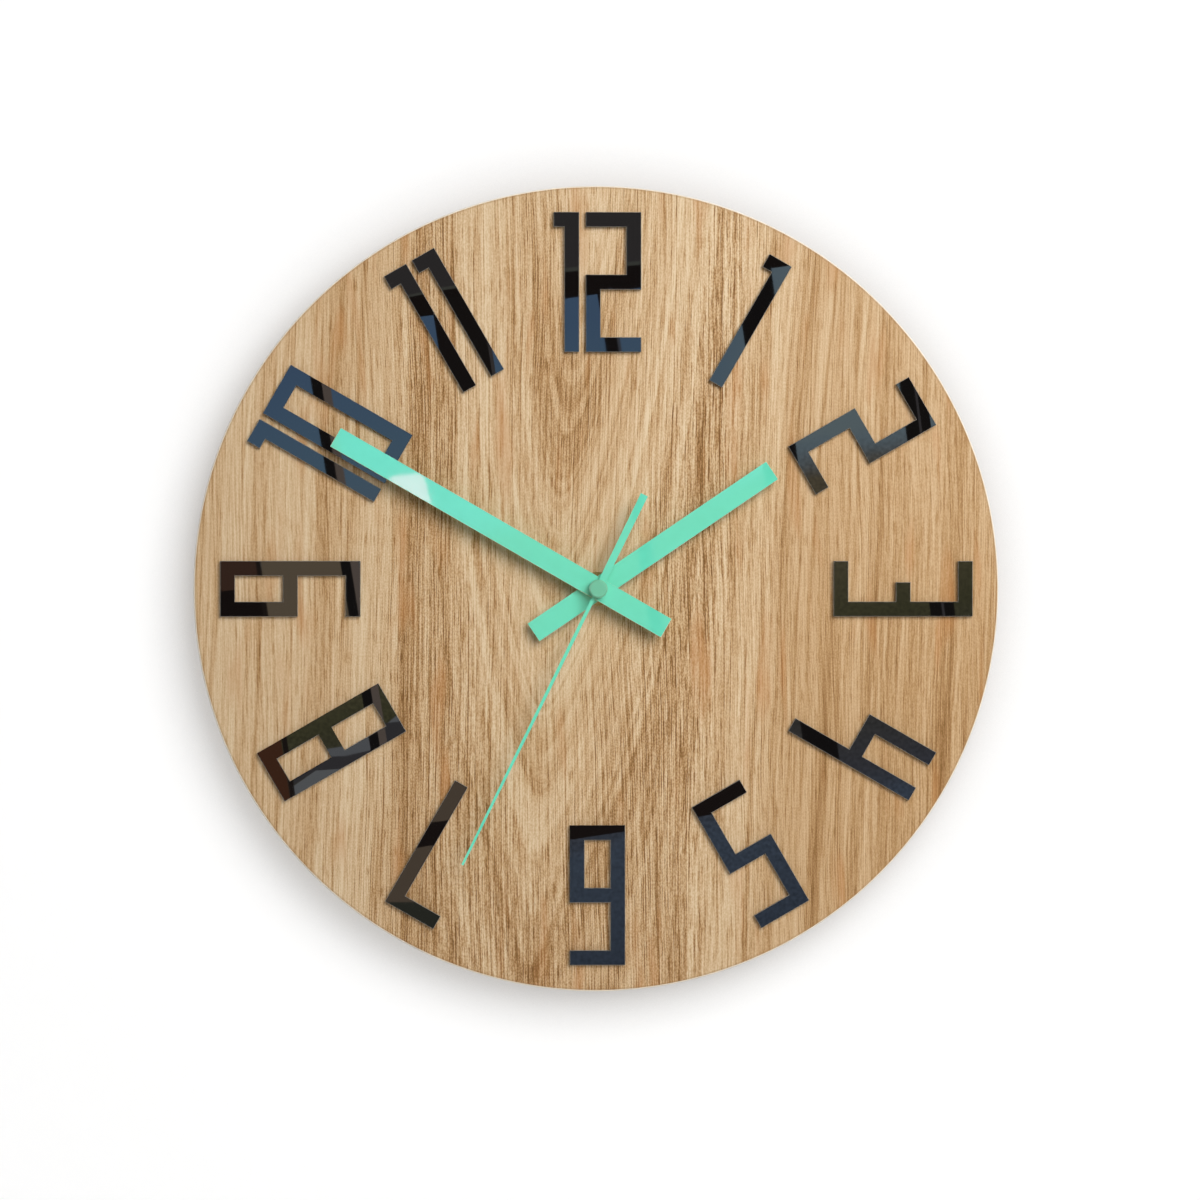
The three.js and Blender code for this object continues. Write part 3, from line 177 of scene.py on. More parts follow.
def make_lamp(name, place, side, watts):
    """A square soft lamp that looks at the clock."""
    light = bpy.data.lights.new(name, "AREA")
    light.shape = "SQUARE"
    light.size = side
    light.energy = watts
    lamp = bpy.data.objects.new(name, light)
    lamp.location = place
    lamp.rotation_mode = "QUATERNION"
    lamp.rotation_quaternion = (-Vector(place)).to_track_quat("-Z", "Y")
    bpy.context.scene.collection.objects.link(lamp)
    return lamp


window_light = make_lamp("window_light", place=(0.88, -2.0, 0.96), side=1.7, watts=60)
window_light.visible_glossy = False
make_lamp("rear_light", place=(-0.3, 2.4, 0.5), side=1.0, watts=27)


# The room's light on matt pieces, and what gloss mirrors of it: its floor and ceiling, how much brighter its
# left and right sides are, and where across the sky a side starts and is full
FILL_LEVEL = 0.10
GLOSS_FLOOR, GLOSS_CEILING = 0.25, 0.9
GLOSS_LEFT, GLOSS_RIGHT = 2.8, 1.2
SIDE_START, SIDE_FULL = 0.5, 0.95


def make_world():
    """White behind the clock, a low fill on it, and brighter sides of the room for gloss."""
    world = bpy.data.worlds.new("soft_room")
    bpy.context.scene.world = world
    world.use_nodes = True
    tree = world.node_tree
    tree.nodes.clear()
    path = add(tree, "ShaderNodeLightPath", out=None)
    way = add(tree, "ShaderNodeTexCoord", out="Generated")
    x, y, z = add(tree, "ShaderNodeSeparateXYZ", {0: way}, out=None)
    right = add(tree, "ShaderNodeMapRange", {
        "Value": x, "From Min": SIDE_START, "From Max": SIDE_FULL, "To Max": GLOSS_RIGHT,
    })
    left = add(tree, "ShaderNodeMapRange", {
        "Value": x, "From Min": -SIDE_START, "From Max": -SIDE_FULL, "To Max": GLOSS_LEFT,
    })
    sides = add(tree, "ShaderNodeMath", {0: left, 1: right}, operation="ADD")
    height = add(tree, "ShaderNodeMapRange", {
        "Value": z, "From Min": -1.0, "To Min": GLOSS_FLOOR, "To Max": GLOSS_CEILING,
    })
    gloss = add(tree, "ShaderNodeMath", {0: sides, 1: height}, operation="ADD")
    strength = add(tree, "ShaderNodeMix", {0: path["Is Glossy Ray"], 2: FILL_LEVEL, 3: gloss})
    strength = add(tree, "ShaderNodeMix", {0: path["Is Camera Ray"], 2: strength, 3: 1.0})
    back = add(tree, "ShaderNodeBackground", {"Color": (1, 1, 1, 1), "Strength": strength})
    add(tree, "ShaderNodeOutputWorld", {"Surface": back})


make_world()

# What the gloss mirrors: a room's dark ceiling and a glazed wall with slanting bars, sky over a wooded slope
# and a slate yard. Each sheet is placed by the dial millimetres at which the camera sees it, right and up of
# the centre, and shows only in reflections. Cast acrylic sends back about 4 percent of what it mirrors. The
# sheets stand metres in front of the numerals, one step nearer each.
GLOSS_SHARE = 0.0387
SHEET_DISTANCE = 2.6
SHEET_STEP = 0.01

# Colours of the view from the yard up to the sky, as the gloss shows them: height on the dial, colour. The
# slope outside falls to the right, and pale cloud lies over that side. All lengths are dial millimetres.
VIEW_LOW, VIEW_HIGH = -175, 175
VIEW_TILT = -0.2
VIEW_TONES = (
    (-175, "#252b35"), (-109, "#2f3742"), (-96, "#2b2c31"), (-60, "#2c2a24"), (-34, "#2f2e1f"),
    (-10, "#3b3728"), (26, "#3f392d"), (40, "#424f5a"), (70, "#3a4d5c"), (112, "#34465b"),
)
VIEW_DRIFT, DRIFT_SIZE = 10.0, 16
LEAF_TOP, LEAF_FADE, LEAF_SIZE = 36.0, 14, 1.4
LEAF_SHADE, LEAF_LIGHT = 0.75, 1.25
CLOUD_START, CLOUD_FULL = 25.0, 80.0
CLOUD_COVER = 0.7
CLOUD_COLOUR = "#535d5e"

# Flat sheets in front of the view: name, colour in the gloss, corners
MIRRORED_SHEETS = (
    ("ceiling", "#262424", ((-175, 108), (-79, 119.5), (-64, 123), (-14, 131), (17, 134), (175, 152),
                            (175, 185), (-175, 185))),
    ("lintel", "#0f0b0a", ((-175, 98), (-69, 111.5), (-14, 118.4), (73, 131.4), (175, 147), (175, 152),
                           (17, 134), (-14, 131), (-64, 123), (-79, 119.5), (-175, 108))),
    ("cornice", "#31322e", ((-79, 118.6), (-64, 121.8), (-14, 129.4), (17, 132.5), (175, 150), (175, 152),
                            (17, 134), (-14, 131), (-64, 123), (-79, 119.5))),
    ("facade", "#4a4135", ((-140, 30), (-106, 30), (-95, -30), (-132, -30))),
    ("bank", "#41382f", ((-84, -60), (-40, -60), (-48, -128), (-105, -128), (-98, -84))),
    ("bank_foot", "#22231e", ((-105, -128), (-48, -128), (-50, -150), (-105, -150))),
    ("slab_upper", "#46484b", ((-111, -65.5), (-104, -64.3), (-92, -60), (-80, -50), (-79, -54), (-93, -66),
                               (-103, -68.2), (-110, -68.5))),
    ("slab_shade", "#29282a", ((-110, -68.5), (-103, -68.2), (-93, -66), (-88, -55), (-79, -54), (-76, -62),
                               (-104, -73.4), (-115, -74.2), (-124, -80), (-124, -74))),
    ("slab_lower", "#4b4d4f", ((-124, -80.5), (-115, -74.2), (-103, -73.4), (-108, -80), (-124, -88))),
    ("cabinet", "#2f2019", ((-175, 30), (-139.5, 30), (-137, 0), (-148, -0.5), (-175, -3))),
    ("cabinet_gap", "#0f0a09", ((-175, -3), (-148, -0.5), (-137, 0), (-134, -12), (-132, -30), (-175, -30))),
    ("cabinet_foot", "#351f14", ((-175, -30), (-134, -30), (-129.5, -60), (-124, -95), (-175, -95))),
    ("bar_f", "#15100e", ((-140, 14), (-138, 14), (-121.8, -95), (-124, -95))),
    ("bar_a", "#0d0b0b", ((-117.8, 90), (-113.6, 90), (-84.8, -90), (-88.8, -90))),
    ("stripe_a", "#463e39", ((-113.6, 90), (-110.2, 90), (-81.6, -90), (-84.8, -90))),
    ("bar_b", "#100d0c", ((-68, 118), (-48, 121), (-36, 40), (-56, 40))),
    ("stripe_b", "#2d2a2a", ((-48, 121), (-46.5, 121), (-34.5, 40), (-36, 40))),
    ("bar_c", "#0e0b0b", ((-0.3, 122), (4.7, 123), (38.7, -95), (33.7, -95))),
    ("stripe_c", "#2e3036", ((4.7, 123), (5.9, 123), (39.9, -95), (38.7, -95))),
    ("bar_d", "#0d0b0b", ((56, 130), (71, 132), (100, -75), (86, -75))),
    ("bar_e", "#0e0c0b", ((120, 112), (131, 112), (148, -20), (138, -20))),
    ("stripe_e", "#2c2a2b", ((126.2, 112), (127.2, 112), (143.8, -20), (142.8, -20))),
    ("rail", "#120d0c", ((-175, -112), (-69, -95.5), (-10, -88), (60, -74), (64, -89), (10, -99.5),
                         (-10, -102.5), (-69, -105), (-175, -125))),
)

# The lamp's glint on the minute hand, in front of the other sheets: it leans to pink so that it looks white on
# the green
GLINT_CORNERS = ((-85.5, 44.5), (-83.0, 46.0), (-72.5, 47.0), (-70.5, 45.0), (-67.5, 33.0), (-76.0, 36.0))
GLINT_DISTANCE = 2.3
GLINT_COLOUR = "#ffa6d2"
GLINT_STRENGTH = 13.0


def mirrored(right, up, distance, front):
    """The place, at a distance in front of the dial, that a dial point mirrors to the camera."""
    x, z = right * MM, up * MM
    reach = distance / (front - eye.y)
    return (x + (x - eye.x) * reach, front - distance, z + (z - eye.z) * reach)


def glowing(name):
    """An empty material for a mirrored sheet."""
    material = bpy.data.materials.new(name)
    material.use_nodes = True
    material.node_tree.nodes.clear()
    return material, material.node_tree


def mirror_sheet(name, corners, distance, front, material):
    """A sheet that only gloss shows, with its corners' dial millimetres in its UV map."""
    sheet = flat_piece(name, [mirrored(*corner, distance, front) for corner in corners], material)
    dial_place = sheet.data.uv_layers.new(name="dial_place")
    for loop, (right, up) in zip(dial_place.data, corners):
        loop.uv = (right, up)
    sheet.visible_camera = False
    sheet.visible_diffuse = False
    sheet.visible_transmission = False
    sheet.visible_shadow = False


def make_view():
    """The view behind the glazing, from yard to sky, mottled like leaves low down and like cloud high up."""
    material, tree = glowing("view_outside")
    place = add(tree, "ShaderNodeTexCoord", out="UV")
    right, up, flat = add(tree, "ShaderNodeSeparateXYZ", {0: place}, out=None)
    tilted = add(tree, "ShaderNodeMath", {0: right, 1: VIEW_TILT, 2: up}, operation="MULTIPLY_ADD")
    drift = add(tree, "ShaderNodeTexNoise", {"Vector": place, "Scale": 1 / DRIFT_SIZE, "Detail": 3.0})
    height = add(tree, "ShaderNodeMath", {0: drift, 1: VIEW_DRIFT, 2: tilted}, operation="MULTIPLY_ADD")
    level = add(tree, "ShaderNodeMapRange", {
        "Value": height, "From Min": VIEW_LOW + VIEW_DRIFT / 2, "From Max": VIEW_HIGH + VIEW_DRIFT / 2,
    })
    span = VIEW_HIGH - VIEW_LOW
    tones = [((at - VIEW_LOW) / span, linear(colour)) for at, colour in VIEW_TONES]
    view = add(tree, "ShaderNodeValToRGB", {"Fac": level}, stops=tones)
    cloud = add(tree, "ShaderNodeMapRange", {
        "Value": right, "From Min": CLOUD_START, "From Max": CLOUD_FULL, "To Max": CLOUD_COVER,
    })
    sky = add(tree, "ShaderNodeMapRange", {
        "Value": height, "From Min": LEAF_TOP, "From Max": LEAF_TOP + LEAF_FADE,
    })
    cloud = add(tree, "ShaderNodeMath", {0: cloud, 1: sky}, operation="MULTIPLY")
    view = add(tree, "ShaderNodeMix", {0: cloud, COLOUR_A: view, COLOUR_B: linear(CLOUD_COLOUR)},
               out=COLOUR_OUT, data_type="RGBA")
    leaves = add(tree, "ShaderNodeTexNoise", {"Vector": place, "Scale": 1 / LEAF_SIZE, "Detail": 3.0})
    leaf_light = add(tree, "ShaderNodeMapRange", {
        "Value": leaves, "From Min": 0.35, "From Max": 0.65, "To Min": LEAF_SHADE, "To Max": LEAF_LIGHT,
    })
    strength = add(tree, "ShaderNodeMix", {0: sky, 2: leaf_light, 3: 1.0})
    strength = add(tree, "ShaderNodeMath", {0: strength, 1: 1 / GLOSS_SHARE}, operation="MULTIPLY")
    shine = add(tree, "ShaderNodeEmission", {"Color": view, "Strength": strength})
    add(tree, "ShaderNodeOutputMaterial", {"Surface": shine})
    edge = ((VIEW_LOW, VIEW_LOW), (VIEW_HIGH, VIEW_LOW), (VIEW_HIGH, VIEW_HIGH), (VIEW_LOW, VIEW_HIGH))
    mirror_sheet("view_outside", edge, SHEET_DISTANCE, NUMERAL_FRONT, material)


def make_mirrored_room():
    """The view, the sheets in front of it, nearest last, and the glint."""
    make_view()
    for layer, (name, colour, corners) in enumerate(MIRRORED_SHEETS, start=1):
        material, tree = glowing(name)
        shine = add(tree, "ShaderNodeEmission", {"Color": linear(colour), "Strength": 1 / GLOSS_SHARE})
        add(tree, "ShaderNodeOutputMaterial", {"Surface": shine})
        mirror_sheet(name, corners, SHEET_DISTANCE - layer * SHEET_STEP, NUMERAL_FRONT, material)
    material, tree = glowing("window_glint")
    shine = add(tree, "ShaderNodeEmission", {"Color": linear(GLINT_COLOUR), "Strength": GLINT_STRENGTH})
    add(tree, "ShaderNodeOutputMaterial", {"Surface": shine})
    mirror_sheet("window_glint", GLINT_CORNERS, GLINT_DISTANCE, MINUTE_HAND_FRONT, material)


make_mirrored_room()


# Finishes. Each recipe gets its material's node tree and the place in millimetres, and returns the shader's
# sockets.

# The oak sheet is crown cut: its year rings nest in tongues that point down along a heart line left of the
# centre, and run straight up and down at the sides. In millimetres: the heart line's place and lean, how round
# a tongue's tip is, how far the tongues reach, over what height they close, and where they have straightened.
HEART_PLACE, HEART_LEAN = -17.0, 0.07
TIP_ROUND = 6.0
TONGUE_REACH, TONGUE_HEIGHT = 55.0, 155.0
TONGUE_EDGE = 80.0
# The year rings from the innermost tongue out: millimetres, tone, and how strongly the fibres and pores show
RING_TONES = (
    (-45, 0.48, 0.50), (-24, 0.32, 0.60), (-14, 0.30, 0.62), (-4, 0.50, 0.50), (14, 0.64, 0.45),
    (32, 0.56, 0.54), (43, 0.45, 0.66), (50, 0.31, 0.76), (63, 0.28, 0.76), (69, 0.48, 0.62),
    (77, 0.68, 0.48), (86, 0.57, 0.46), (94, 0.47, 0.42), (104, 0.60, 0.34), (116, 0.48, 0.34),
    (128, 0.59, 0.32), (150, 0.50, 0.32),
)
# How pale the sheet is from its left edge to its right: partly its own tone, and partly painted light and shade
# that offset the lamp, which lights the right side more
SHEET_TONES_WITH_PAINTED_LIGHT = (
    (-165, 0.65), (-118, 0.60), (-80, 0.41), (-45, 0.52), (25, 0.50), (60, 0.44), (110, 0.41), (165, 0.36),
)
OAK_MIDDLE = -0.125
# To the upper right, where the cut runs straighter, the sheet is paler: where that starts and is full, in
# millimetres right and up added together, and how much paler it gets
CORNER_START, CORNER_FULL = 75.0, 190.0
CORNER_PALER = 0.12
# How strongly the year rings show, how strongly to the upper right, and where that starts and is full
RING_STRENGTH, CORNER_STRENGTH = 0.95, 0.40
STRAIGHT_START, STRAIGHT_FULL = 60.0, 150.0
# Layers along the rings and along the fibres: width and length of a streak in millimetres, detail, noise range
# that it shows, strength
RING_LAYERS = (
    (13.0, 420.0, 1.0, 0.34, 0.66, 0.10),
    (4.6, 300.0, 0.0, 0.66, 0.40, 0.11),
    (2.0, 320.0, 0.0, 0.68, 0.44, 0.13),
    (1.0, 200.0, 0.0, 0.68, 0.42, 0.10),
)
FIBRE_LAYERS = (
    (0.80, 80.0, 0.0, 0.72, 0.52, 0.34),
    (0.42, 150.0, 0.0, 0.72, 0.50, 0.42),
    (0.36, 30.0, 0.0, 0.66, 0.34, 0.40),
    (0.46, 8.0, 0.0, 0.74, 0.58, 0.50),
    (0.40, 0.8, 0.0, 0.34, 0.66, 0.34),
)
# How far the grain wanders sideways: width and length of a bend, and its reach, in millimetres
OAK_BENDS = ((60.0, 190.0, 6.0), (22.0, 60.0, 0.8))
OAK_TONES = (
    (0.00, "#75502b"), (0.20, "#8c663b"), (0.40, "#aa8357"), (0.50, "#b89467"), (0.60, "#c4a178"),
    (0.75, "#d0b28b"), (1.00, "#e0c9a6"),
)
# Redder streaks: width and length in millimetres, colour, and how much of it shows
RED_WIDTH, RED_LENGTH = 7, 48
RED_WOOD = "#b97f48"
RED_SHARE = 0.5
# The veneer on the back, whose face is at y = -17.5, is paler and plainer: where it starts and is full, its
# colour and share
BACK_START, BACK_FULL = -17.7, -17.55
BACK_WOOD = "#cdb083"
BACK_SHARE = 0.6
# Round the rim: radius in millimetres where a line starts and where it is full, its colour, and its strength
RIM_LINES = ((163.5, 163.9, "#8f6d45", 0.3), (164.3, 164.5, "#efe5d4", 1.0))
# Streaks that lie on the same year ring on both sides of the heart differ: millimetres over which they change
STREAK_SHIFT = 90


def grain_layers(tree, across, place, layers):
    """The sum of a table's streak layers, for an across coordinate."""
    x, y, z = add(tree, "ShaderNodeSeparateXYZ", {0: place}, out=None)
    sheet = add(tree, "ShaderNodeCombineXYZ", {"X": across, "Y": x, "Z": z})
    total = 0.0
    for width, length, detail, low, high, strength in layers:
        scale = (1 / width, 1 / STREAK_SHIFT, 1 / length)
        size = add(tree, "ShaderNodeMapping", {"Vector": sheet, "Scale": scale})
        noise = add(tree, "ShaderNodeTexNoise", {"Vector": size, "Scale": 1.0, "Detail": detail})
        relief = add(tree, "ShaderNodeMapRange", {
            "Value": noise, "From Min": low, "From Max": high,
            "To Min": -strength / 2, "To Max": strength / 2,
        })
        total = add(tree, "ShaderNodeMath", {0: total, 1: relief}, operation="ADD")
    return total


def tone_table(tree, at, rows):
    """The two values of a table at a place in millimetres. A colour ramp's red and green hold them."""
    first, last = rows[0][0], rows[-1][0]
    level = add(tree, "ShaderNodeMapRange", {"Value": at, "From Min": first, "From Max": last})
    stops = [((place - first) / (last - first), (one, two, 0, 1)) for place, one, two in rows]
    ramp = add(tree, "ShaderNodeValToRGB", {"Fac": level}, stops=stops)
    red, green, blue = add(tree, "ShaderNodeSeparateColor", {0: ramp}, out=None)
    return red, green


def year_rings(tree, x, z):
    """Each point's place among the year rings, in millimetres out from the heart."""
    heart = add(tree, "ShaderNodeMath", {0: z, 1: HEART_LEAN, 2: HEART_PLACE}, operation="MULTIPLY_ADD")
    side = add(tree, "ShaderNodeMath", {0: x, 1: heart}, operation="SUBTRACT")
    corner = add(tree, "ShaderNodeCombineXYZ", {"X": side, "Y": TIP_ROUND, "Z": 0.0})
    fold = add(tree, "ShaderNodeVectorMath", {0: corner}, out="Value", operation="LENGTH")
    height = add(tree, "ShaderNodeMath", {0: z, 1: TONGUE_HEIGHT}, operation="DIVIDE")
    rise = add(tree, "ShaderNodeMath", {0: height}, operation="TANH")
    fade = add(tree, "ShaderNodeMapRange", {
        "Value": fold, "From Min": 0.0, "From Max": TONGUE_EDGE, "To Min": -TONGUE_REACH, "To Max": 0.0,
    }, interpolation_type="SMOOTHSTEP")
    return add(tree, "ShaderNodeMath", {0: rise, 1: fade, 2: fold}, operation="MULTIPLY_ADD")


def sealed_oak_veneer(tree, place):
    """Crown-cut oak veneer on pale board, sanded, sealed with matt lacquer and turned round.

    The cut gives nested tongues of pale and brown wood, long lines about 1.4 mm apart and short open pores. The
    edge is eased through the veneer, so the pale board shows round the rim under a thin brown line."""
    x, y, z = add(tree, "ShaderNodeSeparateXYZ", {0: place}, out=None)
    fibre = x
    for width, length, reach in OAK_BENDS:
        bend_place = add(tree, "ShaderNodeMapping", {"Vector": place, "Scale": (1 / width, 0.02, 1 / length)})
        bend = add(tree, "ShaderNodeTexNoise", {"Vector": bend_place, "Scale": 1.0, "Detail": 1.0})
        bend = add(tree, "ShaderNodeMapRange", {"Value": bend, "To Min": -reach, "To Max": reach})
        fibre = add(tree, "ShaderNodeMath", {0: fibre, 1: bend}, operation="ADD")
    rings = year_rings(tree, fibre, z)

    ring_tone, fibre_strength = tone_table(tree, rings, RING_TONES)
    upper_right = add(tree, "ShaderNodeMath", {0: x, 1: z}, operation="ADD")
    ring_strength = add(tree, "ShaderNodeMapRange", {
        "Value": upper_right, "From Min": STRAIGHT_START, "From Max": STRAIGHT_FULL,
        "To Min": RING_STRENGTH, "To Max": CORNER_STRENGTH,
    })
    tone = add(tree, "ShaderNodeMath", {0: ring_tone, 1: 0.5}, operation="SUBTRACT")
    tone = add(tree, "ShaderNodeMath", {0: tone, 1: ring_strength, 2: OAK_MIDDLE}, operation="MULTIPLY_ADD")
    ring_lines = grain_layers(tree, rings, place, RING_LAYERS)
    fibre_lines = grain_layers(tree, fibre, place, FIBRE_LAYERS)
    tone = add(tree, "ShaderNodeMath", {0: tone, 1: ring_lines}, operation="ADD")
    # The sheet's tone from left to right, with painted light and shade that offset the lamp
    sheet_tone_with_painted_light = tone_table(tree, x, [(at, level, level) for at, level in SHEET_TONES_WITH_PAINTED_LIGHT])[0]
    corner = add(tree, "ShaderNodeMapRange", {
        "Value": upper_right, "From Min": CORNER_START, "From Max": CORNER_FULL, "To Max": CORNER_PALER,
    })
    tone = add(tree, "ShaderNodeMath", {0: tone, 1: sheet_tone_with_painted_light}, operation="ADD")
    tone = add(tree, "ShaderNodeMath", {0: tone, 1: corner}, operation="ADD")
    tone = add(tree, "ShaderNodeMath", {0: fibre_lines, 1: fibre_strength, 2: tone}, operation="MULTIPLY_ADD")

    tones = [(position, linear(colour)) for position, colour in OAK_TONES]
    wood = add(tree, "ShaderNodeValToRGB", {"Fac": tone}, stops=tones)
    streak_place = add(tree, "ShaderNodeCombineXYZ", {"X": fibre, "Y": y, "Z": z})
    scale = (1 / RED_WIDTH, 0.02, 1 / RED_LENGTH)
    streak_place = add(tree, "ShaderNodeMapping", {"Vector": streak_place, "Scale": scale})
    streak = add(tree, "ShaderNodeTexNoise", {"Vector": streak_place, "Scale": 1.0, "Detail": 1.0})
    streak = add(tree, "ShaderNodeMapRange", {
        "Value": streak, "From Min": 0.60, "From Max": 0.78, "To Max": RED_SHARE,
    })
    wood = add(tree, "ShaderNodeMix", {0: streak, COLOUR_A: wood, COLOUR_B: linear(RED_WOOD)},
               out=COLOUR_OUT, data_type="RGBA")

    flat = add(tree, "ShaderNodeCombineXYZ", {"X": x, "Y": 0.0, "Z": z})
    radius = add(tree, "ShaderNodeVectorMath", {0: flat}, out="Value", operation="LENGTH")
    for start, full, colour, most in RIM_LINES:
        line = add(tree, "ShaderNodeMapRange", {
            "Value": radius, "From Min": start, "From Max": full, "To Max": most,
        })
        wood = add(tree, "ShaderNodeMix", {0: line, COLOUR_A: wood, COLOUR_B: linear(colour)},
                   out=COLOUR_OUT, data_type="RGBA")
    back = add(tree, "ShaderNodeMapRange", {
        "Value": y, "From Min": BACK_START, "From Max": BACK_FULL, "To Max": BACK_SHARE,
    })
    wood = add(tree, "ShaderNodeMix", {0: back, COLOUR_A: wood, COLOUR_B: linear(BACK_WOOD)},
               out=COLOUR_OUT, data_type="RGBA")
    bump = add(tree, "ShaderNodeBump", {"Height": tone, "Strength": 0.25, "Distance": 0.06 * MM}, out="Normal")
    gloss = add(tree, "ShaderNodeMapRange", {
        "Value": tone, "From Min": 0.2, "From Max": 0.8, "To Min": 0.62, "To Max": 0.48,
    })
    return {"Base Color": wood, "Roughness": gloss, "IOR": 1.5, "Specular IOR Level": 0.35, "Normal": bump}


def speckled(tree, place, size, low=0.0, high=1.0):
    """Even noise with grains of a size in millimetres, spread between two values."""
    noise = add(tree, "ShaderNodeTexNoise", {"Vector": place, "Scale": 1 / size, "Detail": 3.0})
    return add(tree, "ShaderNodeMapRange", {
        "Value": noise, "From Min": 0.3, "From Max": 0.7, "To Min": low, "To Max": high,
    })


def cut_edge_and_painted_highlight(tree, start, full, most, side):
    """How pale a cut sheet's painted edge highlight and cut edge are: not on its flat face, most on the rounded
    corner, and less on the side.
    """
    normal = add(tree, "ShaderNodeNewGeometry", out="Normal")
    facing = add(tree, "ShaderNodeSeparateXYZ", {0: normal}, out="Y")
    facing = add(tree, "ShaderNodeMath", {0: facing}, operation="ABSOLUTE")
    corner = add(tree, "ShaderNodeMapRange", {
        "Value": facing, "From Min": start, "From Max": full, "To Max": most,
    })
    fade = add(tree, "ShaderNodeMapRange", {
        "Value": facing, "From Min": 0.05, "From Max": 0.4, "To Min": side,
    })
    return add(tree, "ShaderNodeMath", {0: corner, 1: fade}, operation="MULTIPLY")


def cast_black_acrylic(tree, place):
    """Cast acrylic sheet, cut with a fine router: jet black and mirror smooth, with a thin greyer matt edge that
    is palest on the rounded corner, a painted edge highlight.
    """
    swell = speckled(tree, place, 30.0)
    bump = add(tree, "ShaderNodeBump", {"Height": swell, "Strength": 0.02, "Distance": 0.02 * MM}, out="Normal")
    edge = cut_edge_and_painted_highlight(tree, start=0.99, full=0.9, most=1.0, side=0.16)
    smear = speckled(tree, place, 14.0, 0.004, 0.012)
    smear = add(tree, "ShaderNodeMath", {0: edge, 1: 0.45, 2: smear}, operation="MULTIPLY_ADD")
    # The grey machined edge, palest on the rounded corner as a painted edge highlight
    colour = add(tree, "ShaderNodeMix", {0: edge, COLOUR_A: linear("#050505"), COLOUR_B: linear("#8f877b")},
                 out=COLOUR_OUT, data_type="RGBA")
    return {"Base Color": colour, "Roughness": smear, "IOR": 1.49, "Normal": bump}


def mint_acrylic(tree, place):
    """Mint cast acrylic, laser cut: an even opaque green with a soft gloss and paler cut edges, painted cream as
    an edge highlight that is palest on the rounded corner.
    """
    edge = cut_edge_and_painted_highlight(tree, start=0.995, full=0.93, most=0.9, side=0.5)
    cloud = speckled(tree, place, 6.0)
    face = add(tree, "ShaderNodeMix", {0: cloud, COLOUR_A: linear("#66daba"), COLOUR_B: linear("#68ddbe")},
               out=COLOUR_OUT, data_type="RGBA")
    # Painted highlight: the cream stands in for light caught along the cut edges
    colour = add(tree, "ShaderNodeMix", {0: edge, COLOUR_A: face, COLOUR_B: linear("#d8d8b4")},
                 out=COLOUR_OUT, data_type="RGBA")
    return {"Base Color": colour, "Roughness": 0.02, "IOR": 1.49}


def moulded_mint_cap(tree, place):
    """Moulded ABS cap dyed a greyer mint: satin, with the fine grain of the mould."""
    grain = speckled(tree, place, 0.35)
    bump = add(tree, "ShaderNodeBump", {"Height": grain, "Strength": 0.2, "Distance": 0.02 * MM}, out="Normal")
    return {"Base Color": linear("#6dbc99"), "Roughness": 0.28, "IOR": 1.53, "Normal": bump}


def moulded_black_case(tree, place):
    """Black ABS from a spark-eroded mould: a fine matt grain with a faint sheen and a few rubbed places."""
    grain = speckled(tree, place, 0.45)
    bump = add(tree, "ShaderNodeBump", {"Height": grain, "Strength": 0.55, "Distance": 0.06 * MM}, out="Normal")
    rubbed = speckled(tree, place, 9.0, 0.38, 0.62)
    cloud = speckled(tree, place, 5.0)
    colour = add(tree, "ShaderNodeMix", {0: cloud, COLOUR_A: linear("#171718"), COLOUR_B: linear("#1f1f21")},
                 out=COLOUR_OUT, data_type="RGBA")
    return {"Base Color": colour, "Roughness": rubbed, "IOR": 1.53, "Normal": bump}


def moulded_grey_bridge(tree, place):
    """Dark grey moulded plate of glass-filled plastic: matt, with pale fibre specks."""
    fleck = speckled(tree, place, 0.6)
    colour = add(tree, "ShaderNodeMix", {0: fleck, COLOUR_A: linear("#383a3d"), COLOUR_B: linear("#44474b")},
                 out=COLOUR_OUT, data_type="RGBA")
    bump = add(tree, "ShaderNodeBump", {"Height": fleck, "Strength": 0.3, "Distance": 0.03 * MM}, out="Normal")
    return {"Base Color": colour, "Roughness": 0.5, "IOR": 1.53, "Normal": bump}


def moulded_acetal(tree, place):
    """Natural acetal gears: ivory, slightly waxy, with faint flow marks from the mould."""
    flow = speckled(tree, place, 2.4)
    colour = add(tree, "ShaderNodeMix", {0: flow, COLOUR_A: linear("#e2ddd0"), COLOUR_B: linear("#ece8dd")},
                 out=COLOUR_OUT, data_type="RGBA")
    bump = add(tree, "ShaderNodeBump", {"Height": flow, "Strength": 0.15, "Distance": 0.04 * MM}, out="Normal")
    return {"Base Color": colour, "Roughness": 0.34, "IOR": 1.48, "Normal": bump}


